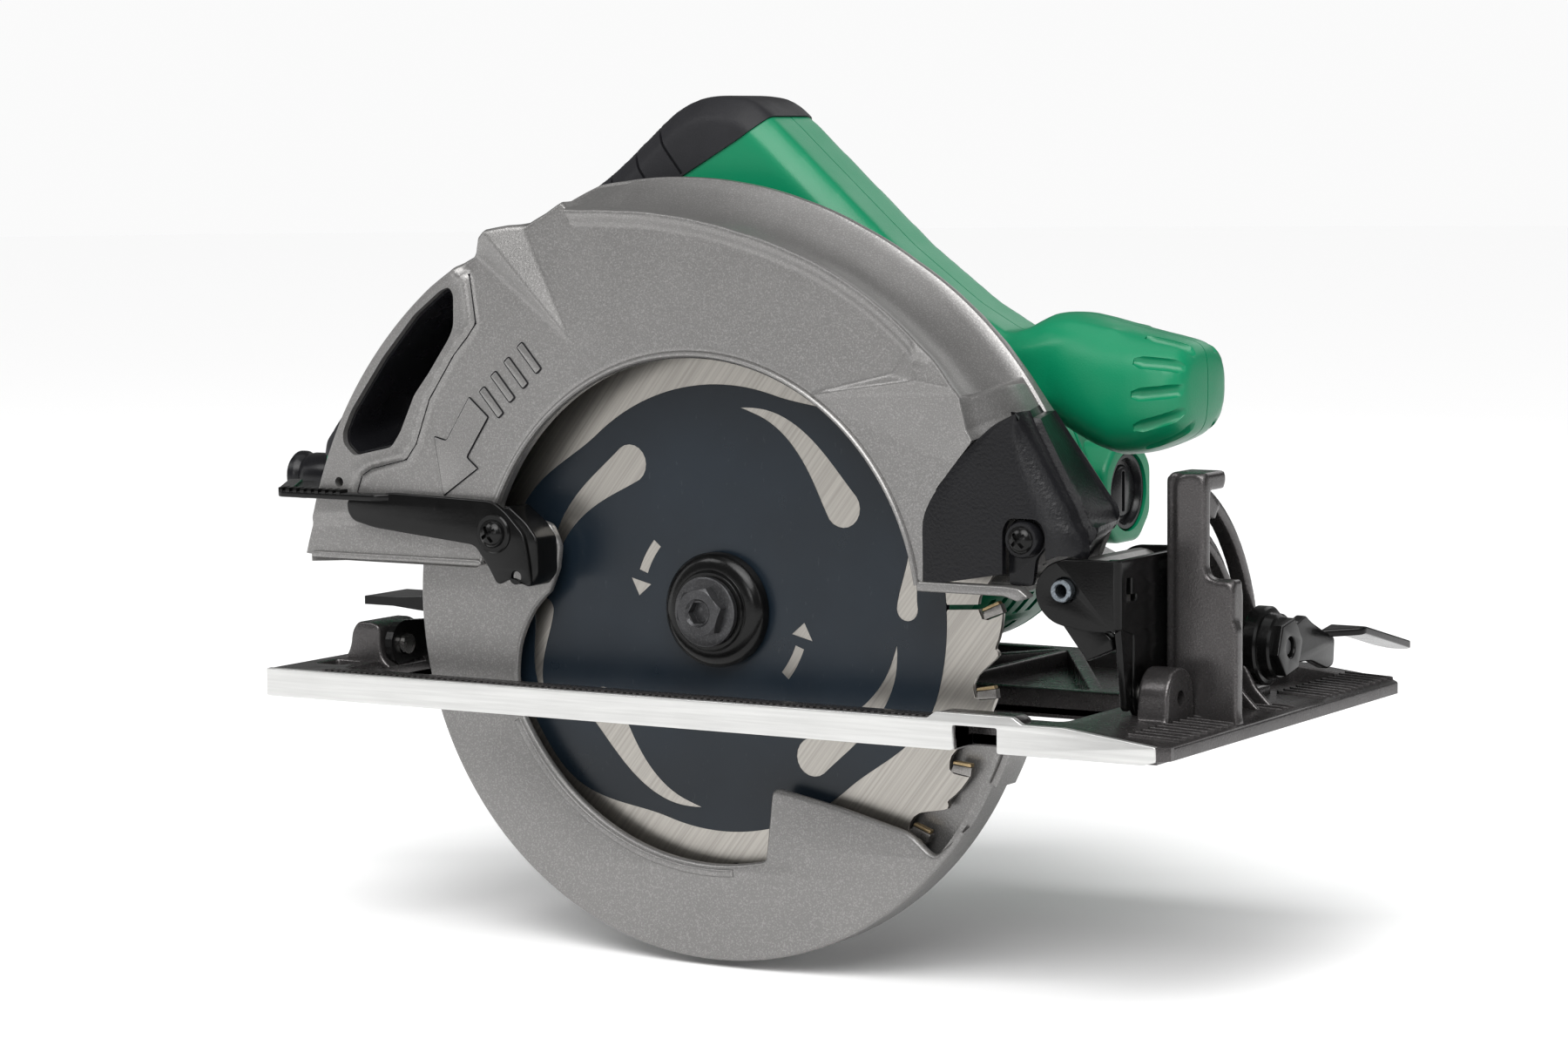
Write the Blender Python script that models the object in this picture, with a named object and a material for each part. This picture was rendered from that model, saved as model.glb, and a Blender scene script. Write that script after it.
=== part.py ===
"""Circular saw with a 184 mm blade on the right of a transverse motor.

Lengths are in millimetres in the "saw frame": x runs forward from the arbor, y runs left from the
blade's middle plane, z runs up from the underside of the base.  The whole saw hangs under one empty
that moves the origin to the middle of the base, and MM turns millimetres into metres.
"""

from math import acos, atan2, cos, hypot, pi, radians, sin, tan

import bmesh
import bpy
from mathutils import Vector

MM = 0.001
GAP = 0.3  # clearance between pieces that touch

# Blade and arbor
BLADE_RADIUS = 92.0
BLADE_TEETH = 24
BLADE_HALF = 0.9
FIRST_TOOTH_ANGLE = 2.4
EXPANSION_SLOT_ANGLES = (3.4, 93.4, 183.4, 273.4)
ARBOR_Z = 29.5
ARBOR_BORE = 8.0

# Base
BASE_REAR, BASE_FRONT = -136.8, 158.8
BASE_NEAR, BASE_FAR = -36.9, 120.4
BASE_HEIGHT = 8.2
BASE_FLOOR = 3.2
BASE_CENTRE_Y = (BASE_NEAR + BASE_FAR) / 2
SLOT_REAR, SLOT_FRONT = -117.5, 123.0
SLOT_NEAR, SLOT_FAR = -25.0, 31.0
FENCE_SLOT_X = (95.6, 108.6)
FENCE_SLOT_HEIGHT = 7.0

# Joint axes
BEVEL_Y, BEVEL_Z = 1.5, 12.8
DEPTH_X, DEPTH_Z = 117.4, 42.1
BEVEL_BOLT_RADIUS = 54.0
BEVEL_BOLT_ANGLE = 9.0
LINK_RADIUS = 203.4
LINK_BOLT_ANGLE = 185.7

# Guards
GUARD_NEAR, GUARD_FAR = -16.0, 14.0
GUARD_WALL = 2.5
GUARD_EDGE_RADIUS = 108.0
GUARD_RIM_RADIUS = 114.0
WINDOW_RADIUS = 73.0
GUARD_BOTTOM_Z = 40.5
LOWER_RADIUS = 100.9
LOWER_NEAR, LOWER_FAR = -8.0, 5.5
LOWER_WALL = 1.6
LOWER_REAR_ANGLE, LOWER_FRONT_ANGLE = -200.0, -17.0
HUB_RADIUS = 18.0
COVER_NEAR, COVER_FAR = 14.3, 17.0

# Gears: teeth, module and face width
GEAR_TEETH, PINION_TEETH = 49, 10
GEAR_MODULE = 1.0
PROFILE_SHIFT = 0.45
GEAR_NEAR, GEAR_FAR = 19.0, 25.0
CENTRE_DISTANCE = (GEAR_TEETH + PINION_TEETH) * GEAR_MODULE / 2
MOTOR_ANGLE = 58.0
MOTOR_X = CENTRE_DISTANCE * cos(radians(MOTOR_ANGLE))
MOTOR_Z = ARBOR_Z + CENTRE_DISTANCE * sin(radians(MOTOR_ANGLE))

# Motor
CASE_NEAR, CASE_FAR = 17.3, 29.0
HOUSING_NEAR, HOUSING_FAR = 29.3, 112.0
HOUSING_RADIUS = 45.0
HOUSING_WALL = 3.0
TAIL_END = 165.0
CORE_RADIUS = 24.0
SHAFT_RADIUS = 4.0
BRUSH_Y = 129.0

# Handle
HANDLE_NEAR, HANDLE_FAR = 29.3, 62.0
HANDLE_MIDDLE = (HANDLE_NEAR + HANDLE_FAR) / 2
RUBBER = 4.0


# ---------------------------------------------------------------- helpers

MATERIALS = {}
ORIGINS = {}


def polar(centre, radius, angle):
    """A point at an angle in degrees round a centre."""
    turn = radians(angle)
    return (centre[0] + radius * cos(turn), centre[1] + radius * sin(turn))


# Points that other dimensions hang on, in the plane square to their axis
ARBOR = (0.0, ARBOR_Z)
MOTOR = (MOTOR_X, MOTOR_Z)
DEPTH_PIN = (DEPTH_X, DEPTH_Z)
BEVEL_AXIS = (BEVEL_Y, BEVEL_Z)
BEVEL_BOLT = polar(BEVEL_AXIS, BEVEL_BOLT_RADIUS, BEVEL_BOLT_ANGLE)
LINK_BOLT = polar(DEPTH_PIN, LINK_RADIUS, LINK_BOLT_ANGLE)
TRIGGER_PIVOT = (-34.0, 132.0)
CHIP_SCREW = (106.0, 55.5)
LEVER_SCREW = (-65.7, 50.0)


def material(name, colour, roughness, metallic):
    made = bpy.data.materials.new(name)
    made.use_nodes = True
    shader = made.node_tree.nodes["Principled BSDF"]
    shader.inputs["Base Color"].default_value = (*colour, 1.0)
    shader.inputs["Roughness"].default_value = roughness
    shader.inputs["Metallic"].default_value = metallic
    made.diffuse_color = (*colour, 1.0)
    MATERIALS[name] = made


def axis_empty(name, point, parent=None):
    """An empty at a point of the saw frame, on the axis of what hangs under it."""
    empty = bpy.data.objects.new(name, None)
    bpy.context.scene.collection.objects.link(empty)
    ORIGINS[name] = Vector(point)
    above = ORIGINS[parent] if parent else Vector()
    empty.location = (ORIGINS[name] - above) * MM
    empty.parent = bpy.data.objects[parent] if parent else None
    empty.empty_display_size = 0.01


def add_object(name, points, faces, look, parent):
    mesh = bpy.data.meshes.new(name)
    mesh.from_pydata([Vector(point) * MM for point in points], [], faces)
    shape = bmesh.new()
    shape.from_mesh(mesh)
    bmesh.ops.recalc_face_normals(shape, faces=shape.faces)
    shape.to_mesh(mesh)
    shape.free()
    mesh.shade_smooth()
    mesh.set_sharp_from_angle(angle=radians(32))
    thing = bpy.data.objects.new(name, mesh)
    bpy.context.scene.collection.objects.link(thing)
    thing.parent = bpy.data.objects[parent]
    thing.location = -ORIGINS[parent] * MM
    if look:
        mesh.materials.append(MATERIALS[look])
    else:
        thing.hide_render = True
        thing.display_type = "WIRE"
    return thing


def to_space(first, second, along, axis):
    """A point of an outline, lifted along the axis that the outline is square to."""
    if axis == "X":
        return (along, first, second)
    if axis == "Y":
        return (first, along, second)
    return (first, second, along)


def prism_mesh(outline, start, end, axis, base_index=0):
    count = len(outline)
    points = [to_space(*p, start, axis) for p in outline] + [to_space(*p, end, axis) for p in outline]
    faces = [[base_index + i for i in range(count)], [base_index + count + i for i in range(count)][::-1]]
    for i in range(count):
        j = (i + 1) % count
        faces.append([base_index + k for k in (j, i, count + i, count + j)])
    return points, faces


def prism(name, outline, start, end, axis, look, parent):
    points, faces = prism_mesh(outline, start, end, axis)
    return add_object(name, points, faces, look, parent)


def prisms(name, outlines, start, end, axis, look, parent):
    """Several separate prisms in one mesh, for a cutter."""
    points, faces = [], []
    for outline in outlines:
        more_points, more_faces = prism_mesh(outline, start, end, axis, len(points))
        points += more_points
        faces += more_faces
    return add_object(name, points, faces, look, parent)


def lathe(name, profile, centre, axis, look, parent, segments=20):
    """Turns a profile of (radius, place along the axis); it is a ring where no radius is 0."""
    points, rings = [], []
    for radius, along in profile:
        if radius == 0:
            rings.append([len(points)])
            points.append(to_space(*centre, along, axis))
            continue
        rings.append(list(range(len(points), len(points) + segments)))
        for step in range(segments):
            angle = 2 * pi * step / segments
            place = (centre[0] + radius * cos(angle), centre[1] + radius * sin(angle))
            points.append(to_space(*place, along, axis))
    closed = all(len(ring) > 1 for ring in rings)
    faces = []
    for i in range(len(rings) if closed else len(rings) - 1):
        first, second = rings[i], rings[(i + 1) % len(rings)]
        for step in range(segments):
            after = (step + 1) % segments
            if len(first) == 1:
                faces.append([first[0], second[step], second[after]])
            elif len(second) == 1:
                faces.append([first[step], second[0], first[after]])
            else:
                faces.append([first[step], second[step], second[after], first[after]])
    return add_object(name, points, faces, look, parent)


def cylinder(name, radius, start, end, centre, axis, look, parent, segments=20):
    profile = [(0, start), (radius, start), (radius, end), (0, end)]
    return lathe(name, profile, centre, axis, look, parent, segments)


def ring(name, inner, outer, start, end, centre, axis, look, parent, segments=20):
    profile = [(inner, start), (outer, start), (outer, end), (inner, end)]
    return lathe(name, profile, centre, axis, look, parent, segments)


def loft(name, outlines, places, axis, look, parent):
    """A solid through outlines of equal length, one at each place along the axis."""
    count = len(outlines[0])
    points = [to_space(*p, place, axis) for outline, place in zip(outlines, places) for p in outline]
    faces = [list(range(count)), list(range(len(points) - count, len(points)))[::-1]]
    for level in range(len(outlines) - 1):
        for i in range(count):
            j = (i + 1) % count
            low, high = level * count, (level + 1) * count
            faces.append([low + j, low + i, high + i, high + j])
    return add_object(name, points, faces, look, parent)


def boolean(thing, other, operation):
    modifier = thing.modifiers.new(other.name, "BOOLEAN")
    modifier.operation = operation
    modifier.solver = "EXACT"
    modifier.object = other
    other.hide_render = True
    other.display_type = "WIRE"


def cut(thing, *others):
    for other in others:
        boolean(thing, other, "DIFFERENCE")


def join(thing, *others):
    for other in others:
        boolean(thing, other, "UNION")


def keep(thing, other):
    boolean(thing, other, "INTERSECT")


def arc(centre, radius, first, last, steps):
    """Points from one angle to another, in degrees, both ends included."""
    return [polar(centre, radius, first + (last - first) * step / steps) for step in range(steps + 1)]


def circle(centre, radius, steps=24):
    return arc(centre, radius, 0, 360 * (steps - 1) / steps, steps - 1)


def hull_of_circles(first, first_radius, second, second_radius, steps=14):
    """The outline of a belt round two circles."""
    span = hypot(second[0] - first[0], second[1] - first[1])
    heading = atan2(second[1] - first[1], second[0] - first[0]) * 180 / pi
    lean = acos((first_radius - second_radius) / span) * 180 / pi
    far_side = arc(second, second_radius, heading - lean, heading + lean, steps)
    return far_side + arc(first, first_radius, heading + lean, heading + 360 - lean, steps)


def offset_path(path, distance):
    """An open path moved sideways, to its right where distance is positive."""
    found = []
    for i, point in enumerate(path):
        before, after = Vector(path[max(i - 1, 0)]), Vector(path[min(i + 1, len(path) - 1)])
        run = (after - before).normalized()
        found.append((point[0] + run.y * distance, point[1] - run.x * distance))
    return found


def pulled_in(outline, distance, centre):
    """An outline moved towards a centre that sees all of it."""
    found = []
    for point in outline:
        arm = Vector(point) - Vector(centre)
        found.append(tuple(Vector(centre) + arm * (1 - distance / arm.length)))
    return found


# ---------------------------------------------------------------- frame of the saw


def make_materials():
    material("guard_paint", (0.235, 0.225, 0.220), 0.42, 0.75)
    material("base_paint", (0.085, 0.080, 0.080), 0.40, 0.75)
    material("black_steel", (0.012, 0.012, 0.013), 0.30, 0.60)
    material("black_plastic", (0.016, 0.016, 0.018), 0.55, 0.0)
    material("black_rubber", (0.014, 0.014, 0.015), 0.75, 0.0)
    material("green_plastic", (0.003, 0.285, 0.125), 0.45, 0.0)
    material("steel", (0.58, 0.57, 0.56), 0.30, 1.0)
    material("aluminium", (0.70, 0.70, 0.70), 0.42, 1.0)
    material("blade_coating", (0.014, 0.022, 0.030), 0.38, 0.30)
    material("copper", (0.60, 0.26, 0.14), 0.35, 1.0)
    material("lamination", (0.25, 0.25, 0.26), 0.50, 0.9)


def make_axes():
    axis_empty("saw", (0, 0, 0))
    bpy.data.objects["saw"].location = (0, -BASE_CENTRE_Y * MM, 0)
    axis_empty("bevel_axis", (0, BEVEL_Y, BEVEL_Z), "saw")
    axis_empty("bevel_lever_axis", (0, *BEVEL_BOLT), "bevel_axis")
    axis_empty("depth_axis", (DEPTH_X, 0, DEPTH_Z), "bevel_axis")
    axis_empty("spindle_axis", (0, 0, ARBOR_Z), "depth_axis")
    axis_empty("armature_axis", (MOTOR_X, 0, MOTOR_Z), "depth_axis")
    axis_empty("guard_axis", (0, 0, ARBOR_Z), "depth_axis")
    axis_empty("depth_lever_axis", (LINK_BOLT[0], 0, LINK_BOLT[1]), "depth_axis")
    axis_empty("trigger_axis", (TRIGGER_PIVOT[0], HANDLE_MIDDLE, TRIGGER_PIVOT[1]), "depth_axis")


# ---------------------------------------------------------------- base


def rib_pockets():
    """Triangles between the diagonal ribs of the motor side, two in each bay."""
    outlines = []
    bays, first, last = 4, -104.0, 104.0
    low, high = SLOT_FAR + 4.5, BASE_FAR - 5.0
    width = (last - first) / bays
    for bay in range(bays):
        left = first + bay * width + 1.2
        right = first + (bay + 1) * width - 1.2
        if bay % 2:
            outlines.append([(left, low), (right - 3, low), (left, high - 3)])
            outlines.append([(right, low + 3), (right, high), (left + 3, high)])
        else:
            outlines.append([(left + 3, low), (right, low), (right, high - 3)])
            outlines.append([(left, low + 3), (right - 3, high), (left, high)])
    return outlines


def make_base():
    chamfer = 3.0
    outline = [
        (BASE_REAR, BASE_NEAR), (BASE_FRONT - chamfer, BASE_NEAR), (BASE_FRONT, BASE_NEAR + chamfer),
        (BASE_FRONT, BASE_FAR - chamfer), (BASE_FRONT - chamfer, BASE_FAR), (BASE_REAR, BASE_FAR),
    ]
    base = prism("base_plate", outline, 0, BASE_HEIGHT, "Z", "base_paint", "saw")
    slot = [
        (SLOT_REAR, SLOT_NEAR), (SLOT_FRONT, SLOT_NEAR), (SLOT_FRONT, SLOT_FAR), (SLOT_REAR, SLOT_FAR),
    ]
    pockets = rib_pockets()
    rear_low, rear_high = BASE_REAR + 5, SLOT_REAR - 4.5
    pockets.append([(rear_low, -20), (rear_high, -20), (rear_high, -9), (rear_low, -9)])
    pockets.append([(rear_low, 17), (rear_high, 17), (rear_high, BASE_FAR - 5), (rear_low, BASE_FAR - 5)])
    pockets.append([(113, 72), (126, 72), (126, BASE_FAR - 5), (113, BASE_FAR - 5)])
    toe = [(BASE_FRONT - 30, 6.0), (BASE_FRONT + 1, 4.6), (BASE_FRONT + 1, 9), (BASE_FRONT - 30, 9)]
    heel = [(BASE_FRONT - 12, -1), (BASE_FRONT + 1, -1), (BASE_FRONT + 1, 1.3), (BASE_FRONT - 12, 0)]
    fence = [(FENCE_SLOT_X[0], -1), (FENCE_SLOT_X[1], -1), (FENCE_SLOT_X[1], FENCE_SLOT_HEIGHT),
             (FENCE_SLOT_X[0], FENCE_SLOT_HEIGHT)]
    hump = [(88.5, 5.0), (115.0, 5.0), (115.0, 8.6), (113.0, 10.1), (90.5, 10.1), (88.5, 8.6)]
    join(base, prism("rail_hump", hump, BASE_NEAR, SLOT_NEAR - 3, "Y", None, "saw"))
    cut(
        base,
        prism("blade_slot_cutter", slot, -1, 20, "Z", None, "saw"),
        prisms("pocket_cutter", pockets, BASE_FLOOR, 20, "Z", None, "saw"),
        prism("toe_cutter", toe, -29, BASE_FAR + 1, "Y", None, "saw"),
        prism("heel_cutter", heel, BASE_NEAR - 1, BASE_FAR + 1, "Y", None, "saw"),
        prism("fence_cutter", fence, BASE_NEAR - 1, SLOT_NEAR + 1, "Y", None, "saw"),
    )
    rear = [(-132, 6.0), (-118, 6.0), (-118, 17.5), (-119, 18.8), (-125, 18.8), (-127.5, 15.5), (-129, 8.0)]
    join(base, prism("rear_bevel_ear", rear, -6.5, 13.0, "Y", None, "saw"))
    cut(base, cylinder("rear_bevel_bore", 3.3, -135, -110, BEVEL_AXIS, "X", None, "saw", 20))


def make_pivot_boss():
    """The front bevel boss, cast with the base."""
    outline = [(BEVEL_Y + 8.2, 6.4)] + arc(BEVEL_AXIS, 8.2, 0, 180, 12) + [(BEVEL_Y - 8.2, 6.4)]
    boss = prism("front_bevel_boss", outline, 135.6, 144.7, "X", "base_paint", "saw")
    cut(boss, cylinder("boss_bore", 3.3, 130, 150, BEVEL_AXIS, "X", None, "saw", 20))
    for name, start, end in (("front_bevel_pin", 128.5, 144.4), ("rear_bevel_pin", -129.0, -112.5)):
        cylinder(name, 3.0, start, end, BEVEL_AXIS, "X", "steel", "saw", 20)


def make_quadrant():
    floor = 6.4
    post = [(138.6, floor), (157.0, floor), (157.0, 31.0), (156.0, 33.0), (156.0, 44.0), (147.5, 44.0),
            (147.5, 68.0), (145.5, 71.0), (141.0, 71.0), (138.6, 68.0)]
    quadrant = prism("bevel_quadrant", post, 10.5, 14.5, "Y", "base_paint", "saw")
    plate = [(11.5, floor), (66, floor)] + arc(BEVEL_AXIS, 62.5, 2, 66, 14) + [(11.5, 70.5)]
    head = [(11.5, 57.0), (21.5, 57.0), (21.5, 71.0), (11.5, 71.0)]
    step = [(11.5, floor), (17.0, floor), (17.0, 44.0), (11.5, 44.0)]
    join(
        quadrant,
        prism("quadrant_plate", plate, 138.6, 142.2, "X", None, "saw"),
        prism("quadrant_head", head, 140.6, 147.5, "X", None, "saw"),
        prism("quadrant_step", step, 140.6, 156.0, "X", None, "saw"),
    )
    first, last = BEVEL_BOLT_ANGLE - 5, BEVEL_BOLT_ANGLE + 50
    groove = arc(BEVEL_AXIS, BEVEL_BOLT_RADIUS - 3.2, first, last, 14)
    groove += arc(BEVEL_AXIS, BEVEL_BOLT_RADIUS + 3.2, last, first, 14)
    window = arc(BEVEL_AXIS, 30, 18, 66, 6) + arc(BEVEL_AXIS, 43, 66, 12, 8)
    cut(
        quadrant,
        prism("quadrant_slot", groove, 130, 160, "X", None, "saw"),
        prism("quadrant_window", window, 130, 160, "X", None, "saw"),
    )


# ---------------------------------------------------------------- what tilts with the bevel


def make_hinge_bracket():
    """A pressed steel bracket: a plate across the saw with an ear folded back at each end."""
    thick = 2.0
    fold = 133.8
    ear = [(fold, 31.6), (fold, 50.8), (DEPTH_X, 50.4)] + arc(DEPTH_PIN, 8.2, 95, 215, 8)
    ear += [(113.0, 33.0), (116.8, 22.0), (121.5, 23.0), (119.5, 31.0)]
    far_ear = [(fold, 33.0), (fold, 50.8), (DEPTH_X, 50.4)] + arc(DEPTH_PIN, 8.2, 95, 255, 10)
    plate = [(-14, 31.6), (-4.9, 29.0)] + arc(BEVEL_AXIS, 6.4, 180, 300, 8) + [(20, 12.0), (47, 12.0),
             (63.0, 14.5), (64.0, 28.0), (50.0, 33.0), (46.0, 50.8), (-14, 50.8)]
    bracket = prism("hinge_bracket", plate, fold - thick, fold, "X", "black_steel", "bevel_axis")
    join(
        bracket,
        prism("near_ear", ear, -14.0, -14.0 + thick, "Y", None, "bevel_axis"),
        prism("far_ear", far_ear, 33.0, 33.0 + thick, "Y", None, "bevel_axis"),
    )
    cut(
        bracket,
        cylinder("ear_bore", 3.4, -20, 40, DEPTH_PIN, "Y", None, "bevel_axis", 20),
        cylinder("bracket_bore", 3.3, 120, 140, BEVEL_AXIS, "X", None, "bevel_axis", 20),
        cylinder("bolt_bore", 2.8, 120, 140, BEVEL_BOLT, "X", None, "bevel_axis", 16),
    )
    ring("depth_hinge_pin", 1.7, 3.1, -16.0, 36.5, DEPTH_PIN, "Y", "steel", "bevel_axis", 24)
    profile = [(0, 129.0), (5.5, 129.0), (5.5, 131.5), (2.5, 131.5), (2.5, 155.0), (0, 155.0)]
    lathe("bevel_clamp_bolt", profile, BEVEL_BOLT, "X", "steel", "bevel_axis", 16)


def make_bevel_lever():
    hub = [(2.8, 142.6), (11.2, 142.6), (11.2, 149.0), (8.0, 152.5), (2.8, 152.5)]
    lever = lathe("bevel_lever", hub, BEVEL_BOLT, "X", "black_steel", "bevel_lever_axis", 24)
    y, z = BEVEL_BOLT
    arm = [(y + 3, z - 5), (y + 14, z - 4.5), (y + 34, z - 9), (y + 38, z - 6), (y + 38, z - 2),
           (y + 14, z + 4.5), (y + 3, z + 6)]
    pad = [(y + 32, z - 2.5), (y + 78, z - 8.5), (y + 79, z - 6.5), (y + 40, z + 0.5), (y + 32, z + 0.5)]
    join(
        lever,
        prism("bevel_lever_arm", arm, 146.5, 149.5, "X", None, "bevel_lever_axis"),
        prism("bevel_lever_pad", pad, 146.5, 158.0, "X", None, "bevel_lever_axis"),
    )


def make_depth_link():
    """The slotted arc at the rear, hung on the rear bevel pin."""
    near, far = 18.4, 21.4
    band = 6.0
    low, high = 188.5, 152.6
    outline = arc(DEPTH_PIN, LINK_RADIUS - band, high, low, 14)
    outline += [(-82.0, 8.8), (-116.5, 8.8), (-116.5, 18.0), (-104.0, 19.0), (-94.0, 26.0)]
    outline += arc(DEPTH_PIN, LINK_RADIUS + band, 184.5, high, 12)
    link = prism("depth_link", outline, near, far, "Y", "black_steel", "bevel_axis")
    tab = arc(BEVEL_AXIS, 7.0, 90, 240, 8) + [(far, 8.8), (far, 18.4)]
    join(link, prism("depth_link_tab", tab, -116.5, -114.0, "X", None, "bevel_axis"))
    slot = arc(DEPTH_PIN, LINK_RADIUS - 2.7, high + 1.9, LINK_BOLT_ANGLE + 1.5, 14)
    slot += arc(DEPTH_PIN, LINK_RADIUS + 2.7, LINK_BOLT_ANGLE + 1.5, high + 1.9, 14)
    cut(
        link,
        prism("depth_link_slot", slot, near - 2, far + 2, "Y", None, "bevel_axis"),
        cylinder("depth_link_bore", 3.3, -125, -110, BEVEL_AXIS, "X", None, "bevel_axis", 20),
    )


# ---------------------------------------------------------------- guards


def rim_radius(angle):
    """The far rim of the guard stands higher towards the rear."""
    rise = max(0.0, (angle - 60.0) / 37.0)
    return GUARD_RIM_RADIUS + 9.0 * rise**1.5


def guard_near_outline():
    rear = [(-134.5, GUARD_BOTTOM_Z), (-130.6, 52.7), (-119.3, 81.8), (-107.6, 100.0), (-97.9, 110.9),
            (-88.3, 119.6), (-78.8, 126.2), (-67.0, 130.5), (-50.0, 132.0)]
    crown = arc(ARBOR, GUARD_EDGE_RADIUS, 108, 37, 13)
    front = [(97.0, 88.5), (105.0, 74.0), (114.0, 57.0), (112.0, 43.0)]
    return rear + crown + front


def guard_far_outline():
    rear = [(-131.5, GUARD_BOTTOM_Z), (-127.6, 53.5), (-117.0, 82.5), (-105.6, 101.0), (-96.0, 113.0),
            (-87.0, 123.0), (-76.0, 132.5), (-62.0, 143.0), (-48.0, 149.5)]
    crown = []
    for step in range(14):
        angle = 108 + (37 - 108) * step / 13
        crown.append(polar(ARBOR, rim_radius(angle), angle))
    front = [(97.0, 90.0), (108.0, 76.0), (118.5, 61.5), (114.0, 43.0)]
    return rear + crown + front


def sunk(outline, depth):
    """The two lower corners moved down, so that the hollow runs out through the bottom."""
    first, last = outline[0], outline[-1]
    return [(first[0], first[1] - depth)] + outline[1:-1] + [(last[0], last[1] - depth)]


def chip_zone(gap):
    """The part of the guard's side that the plastic chip cover takes."""
    edge = [(74.5, 20.0), (74.3, 58.8), (79.2, 68.6), (88.7, 79.6), (96.8, 86.5), (102.0, 100.0)]
    return [(x + gap, z) for x, z in edge] + [(150.0, 100.0), (150.0, 20.0)]


def guard_shell(name, look):
    near, far = guard_near_outline(), guard_far_outline()
    shell = loft(name, [near, far], [GUARD_NEAR, GUARD_FAR], "Y", look, "depth_axis")
    hollow_near = sunk(pulled_in(near, GUARD_WALL + 0.4, ARBOR), 20)
    hollow_far = sunk(pulled_in(far, GUARD_WALL, ARBOR), 20)
    hollow = loft(name + "_hollow", [hollow_near, hollow_far], [GUARD_NEAR + GUARD_WALL, GUARD_FAR + 4],
                  "Y", None, "depth_axis")
    cut(shell, hollow)
    return shell


def make_upper_guard():
    guard = guard_shell("upper_guard", "guard_paint")
    port = [(-80.8, 119.1), (-80.9, 109.9), (-90.0, 96.0), (-95.4, 89.4), (-104.0, 73.7), (-117.9, 70.7),
            (-121.9, 76.5), (-106.7, 100.2), (-95.0, 113.0), (-85.4, 119.5)]
    cut(
        guard,
        cylinder("guard_window", WINDOW_RADIUS, -20, GUARD_NEAR + 5, ARBOR, "Y", None, "depth_axis", 40),
        prism("dust_port", port, -20, GUARD_NEAR + 5, "Y", None, "depth_axis"),
        prism("chip_gap", chip_zone(0), -20, 20, "Y", None, "depth_axis"),
        cylinder("guard_barrel_room", 9.0, -20, 20, DEPTH_PIN, "Y", None, "depth_axis", 24),
    )


def make_chip_cover():
    cover = guard_shell("chip_cover", "black_plastic")
    keep(cover, prism("chip_zone", chip_zone(GAP), -20, 20, "Y", None, "depth_axis"))
    cut(
        cover,
        cylinder("cover_barrel_room", 9.0, -20, 20, DEPTH_PIN, "Y", None, "depth_axis", 24),
        cylinder("cover_screw_bore", 2.4, -20, 20, CHIP_SCREW, "Y", None, "depth_axis", 16),
    )
    profile = [(0, -19.8), (3.6, -19.0), (3.6, -16.3), (2.1, -16.3), (2.1, -8.0), (0, -8.0)]
    lathe("chip_cover_screw", profile, CHIP_SCREW, "Y", "black_steel", "depth_axis", 16)


def make_inner_cover():
    """The wall between blade and gears, with the bearing boss, the hinge barrel and the depth lug."""
    top = guard_far_outline()[1:-1]
    bottom = [(112.0, 46.0), (92.0, 38.0), (48.0, 34.0)] + arc(ARBOR, 27.0, 0, -180, 12)
    bottom += [(-48.0, 30.0), (-72.0, 15.0), (-94.0, 15.0), (-98.0, 40.5), (-131.0, 40.5)]
    cover = prism("inner_cover", top + bottom, COVER_NEAR, COVER_FAR, "Y", "guard_paint", "depth_axis")
    arm = [(98.0, 41.5), (115.5, 36.2), (115.5, 48.2), (98.0, 56.0)]
    join(
        cover,
        cylinder("bearing_boss", HUB_RADIUS, 6.0, 15.5, ARBOR, "Y", None, "depth_axis"),
        prism("hinge_arm", arm, COVER_NEAR + 0.5, 24.0, "Y", None, "depth_axis"),
        cylinder("hinge_barrel", 7.5, -11.6, 32.6, DEPTH_PIN, "Y", None, "depth_axis", 24),
    )
    seat = [(0, 0), (8.6, 0), (8.6, 7.6), (13.3, 7.6), (13.3, 30), (0, 30)]
    cut(
        cover,
        lathe("bearing_seat", seat, ARBOR, "Y", None, "depth_axis", 28),
        cylinder("barrel_bore", 3.5, -20, 40, DEPTH_PIN, "Y", None, "depth_axis", 20),
        cylinder("depth_bolt_hole", 2.7, 10, 20, LINK_BOLT, "Y", None, "depth_axis", 16),
    )


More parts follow.
